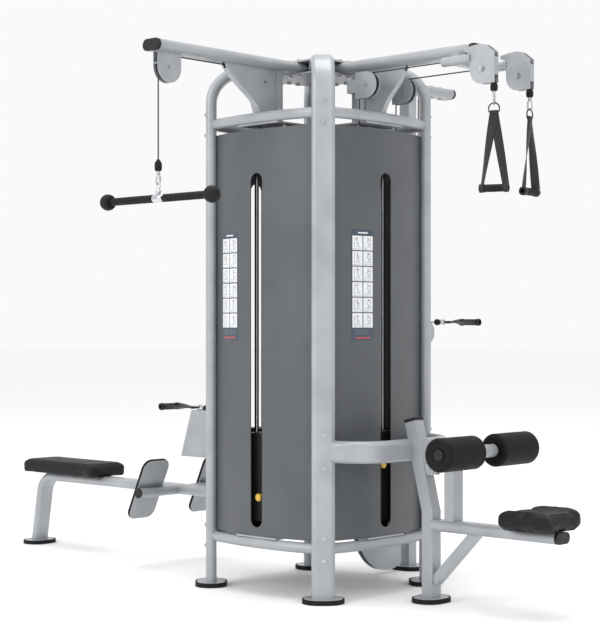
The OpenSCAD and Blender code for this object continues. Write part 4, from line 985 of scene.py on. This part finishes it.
treadSpec = {"tilt": 25.0, "length": 0.330, "width": 0.165, "pitch": 0.016, "corner": 0.045,
             "barX": -0.950, "barZ": 0.388, "face": 0.0415, "back": 0.0242}


def footAxes():
    # up along a foot plate, out of its tread, and the middle of the bar that carries the plates
    tilt = math.radians(treadSpec["tilt"])
    along, out = Vector((math.sin(tilt), 0, math.cos(tilt))), Vector((-math.cos(tilt), 0, math.sin(tilt)))
    return along, out, Vector((treadSpec["barX"], 0, treadSpec["barZ"]))


def makeTreads():
    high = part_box("foot_treads")[1]
    along, out, bar = footAxes()
    points, reaches = [], []
    count = int(treadSpec["length"] / treadSpec["pitch"])
    centre = bar + out * treadSpec["face"]
    for side in (-1, 1):
        y = side * (high.y - treadSpec["width"] / 2 - 0.003)
        for k in range(count):
            h = (k - (count - 1) / 2) * treadSpec["pitch"]
            end = treadSpec["length"] / 2 - abs(h)
            c = treadSpec["corner"]
            cut = c - math.sqrt(max(0.0, c * c - max(0.0, c - end) ** 2)) if end < c else 0.0
            points.append(Vector((0, y, 0)) + centre + along * h)
            reaches.append(treadSpec["width"] - 0.022 - 2 * cut)
    mesh = bpy.data.meshes.new("treadBars")
    mesh.from_pydata([tuple(p) for p in points], [], [])
    mesh.attributes.new("reach", "FLOAT", "POINT").data.foreach_set("value", reaches)
    source = bpy.data.objects.new("treadBars", mesh)
    scene.collection.objects.link(source)
    piece = runTree("footTreadBars", source, ribTree(), {"Rubber": finish["mouldedRubber"],
                                                               "Tilt": math.radians(treadSpec["tilt"])})
    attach(piece, "frame")
    print("tread bars made")


makeTreads()

pressSpec = {"length": 0.150, "width": 0.013, "height": 0.0024, "apart": 0.040}


def makePressings():
    # two long ribs pressed into the back of each foot plate
    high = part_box("foot_treads")[1]
    along, out, bar = footAxes()
    back = bar + out * treadSpec["back"]
    profile = [(0.5 * math.cos(math.radians(a)), 0.5 * math.sin(math.radians(a))) for a in range(-90, 91, 10)]
    profile[0], profile[-1] = (0, -0.5), (0, 0.5)
    s, parts = pressSpec, []
    for side in (-1, 1):
        y = side * (high.y - treadSpec["width"] / 2 - 0.003)
        for k in (-1, 1):
            axes = Matrix((along, Vector((0, 1, 0)), out)).transposed().to_4x4()
            seat = Matrix.Translation(back + along * 0.045 * k * 1.6 + Vector((0, y + k * s["apart"] / 2, 0)))
            size = Matrix.Diagonal((s["length"] * 0.6, s["width"], s["height"] * 2, 1))
            parts.append(placed(turnedShape(profile, 28), seat @ axes @ size @ Matrix.Rotation(math.radians(90), 4, "Y")))
    points, faces = joinParts(parts)
    piece = outwardFaces(pieceFrom("footPlatePressings", points, faces, finish["silverPowderCoat"]))
    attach(piece, "frame")


makePressings()

cameraSpec = {"place": (5.120, -5.578, 1.230), "yaw": 43.21, "lens": 95.4, "rise": 0.0092}
studioSpec = {"floor": "#fbfbfb", "world": "#fbfbfb", "worldStrength": 0.99}


def makeStudio():
    data = bpy.data.cameras.new("viewCamera")
    data.sensor_fit, data.sensor_width, data.lens = "HORIZONTAL", 36.0, cameraSpec["lens"]
    data.shift_y = cameraSpec["rise"]
    camera = bpy.data.objects.new("viewCamera", data)
    scene.collection.objects.link(camera)
    camera.location = cameraSpec["place"]
    camera.rotation_euler = (math.radians(90), 0, math.radians(cameraSpec["yaw"]))
    scene.camera = camera
    world = bpy.data.worlds.new("studioSky")
    scene.world = world
    world.use_nodes = True
    world.node_tree.nodes.clear()
    sky = addNode(world.node_tree, "ShaderNodeBackground", {"Color": toLinear(studioSpec["world"]),
                                                            "Strength": studioSpec["worldStrength"]})
    addNode(world.node_tree, "ShaderNodeOutputWorld", {"Surface": sky.outputs["Background"]})
    for name, place, aim, size, power in (("softboxLeft", (-2.5, -11.0, 6.0), (0, 0, 1.2), 5.0, 330),
                                          ("softboxRight", (9.0, -3.0, 4.0), (0.3, 0, 1.4), 3.5, 60),
                                          ("softboxTop", (0.5, -0.5, 10.0), (0, 0, 0), 6.0, 420)):
        light = bpy.data.lights.new(name, "AREA")
        light.size, light.energy = size, power
        lamp = bpy.data.objects.new(name, light)
        scene.collection.objects.link(lamp)
        lamp.location = place
        lamp.rotation_mode = "QUATERNION"
        lamp.rotation_quaternion = (Vector(aim) - Vector(place)).to_track_quat("-Z", "Y")
    paper = bpy.data.materials.new("studioPaper")
    paper.use_nodes = True
    paper.node_tree.nodes.clear()
    shader = addNode(paper.node_tree, "ShaderNodeBsdfPrincipled", {"Base Color": toLinear(studioSpec["floor"]),
                                                                   "Roughness": 0.9})
    addNode(paper.node_tree, "ShaderNodeOutputMaterial", {"Surface": shader.outputs["BSDF"]})
    reach = 60
    floor = pieceFrom("studioFloor", [(-reach, -reach, -0.001), (reach, -reach, -0.001), (reach, reach, -0.001),
                                      (-reach, reach, -0.001)], [(0, 1, 2, 3)], paper, smooth=False)
    scene.view_settings.view_transform = "Standard"
    print("studio made")


makeStudio()
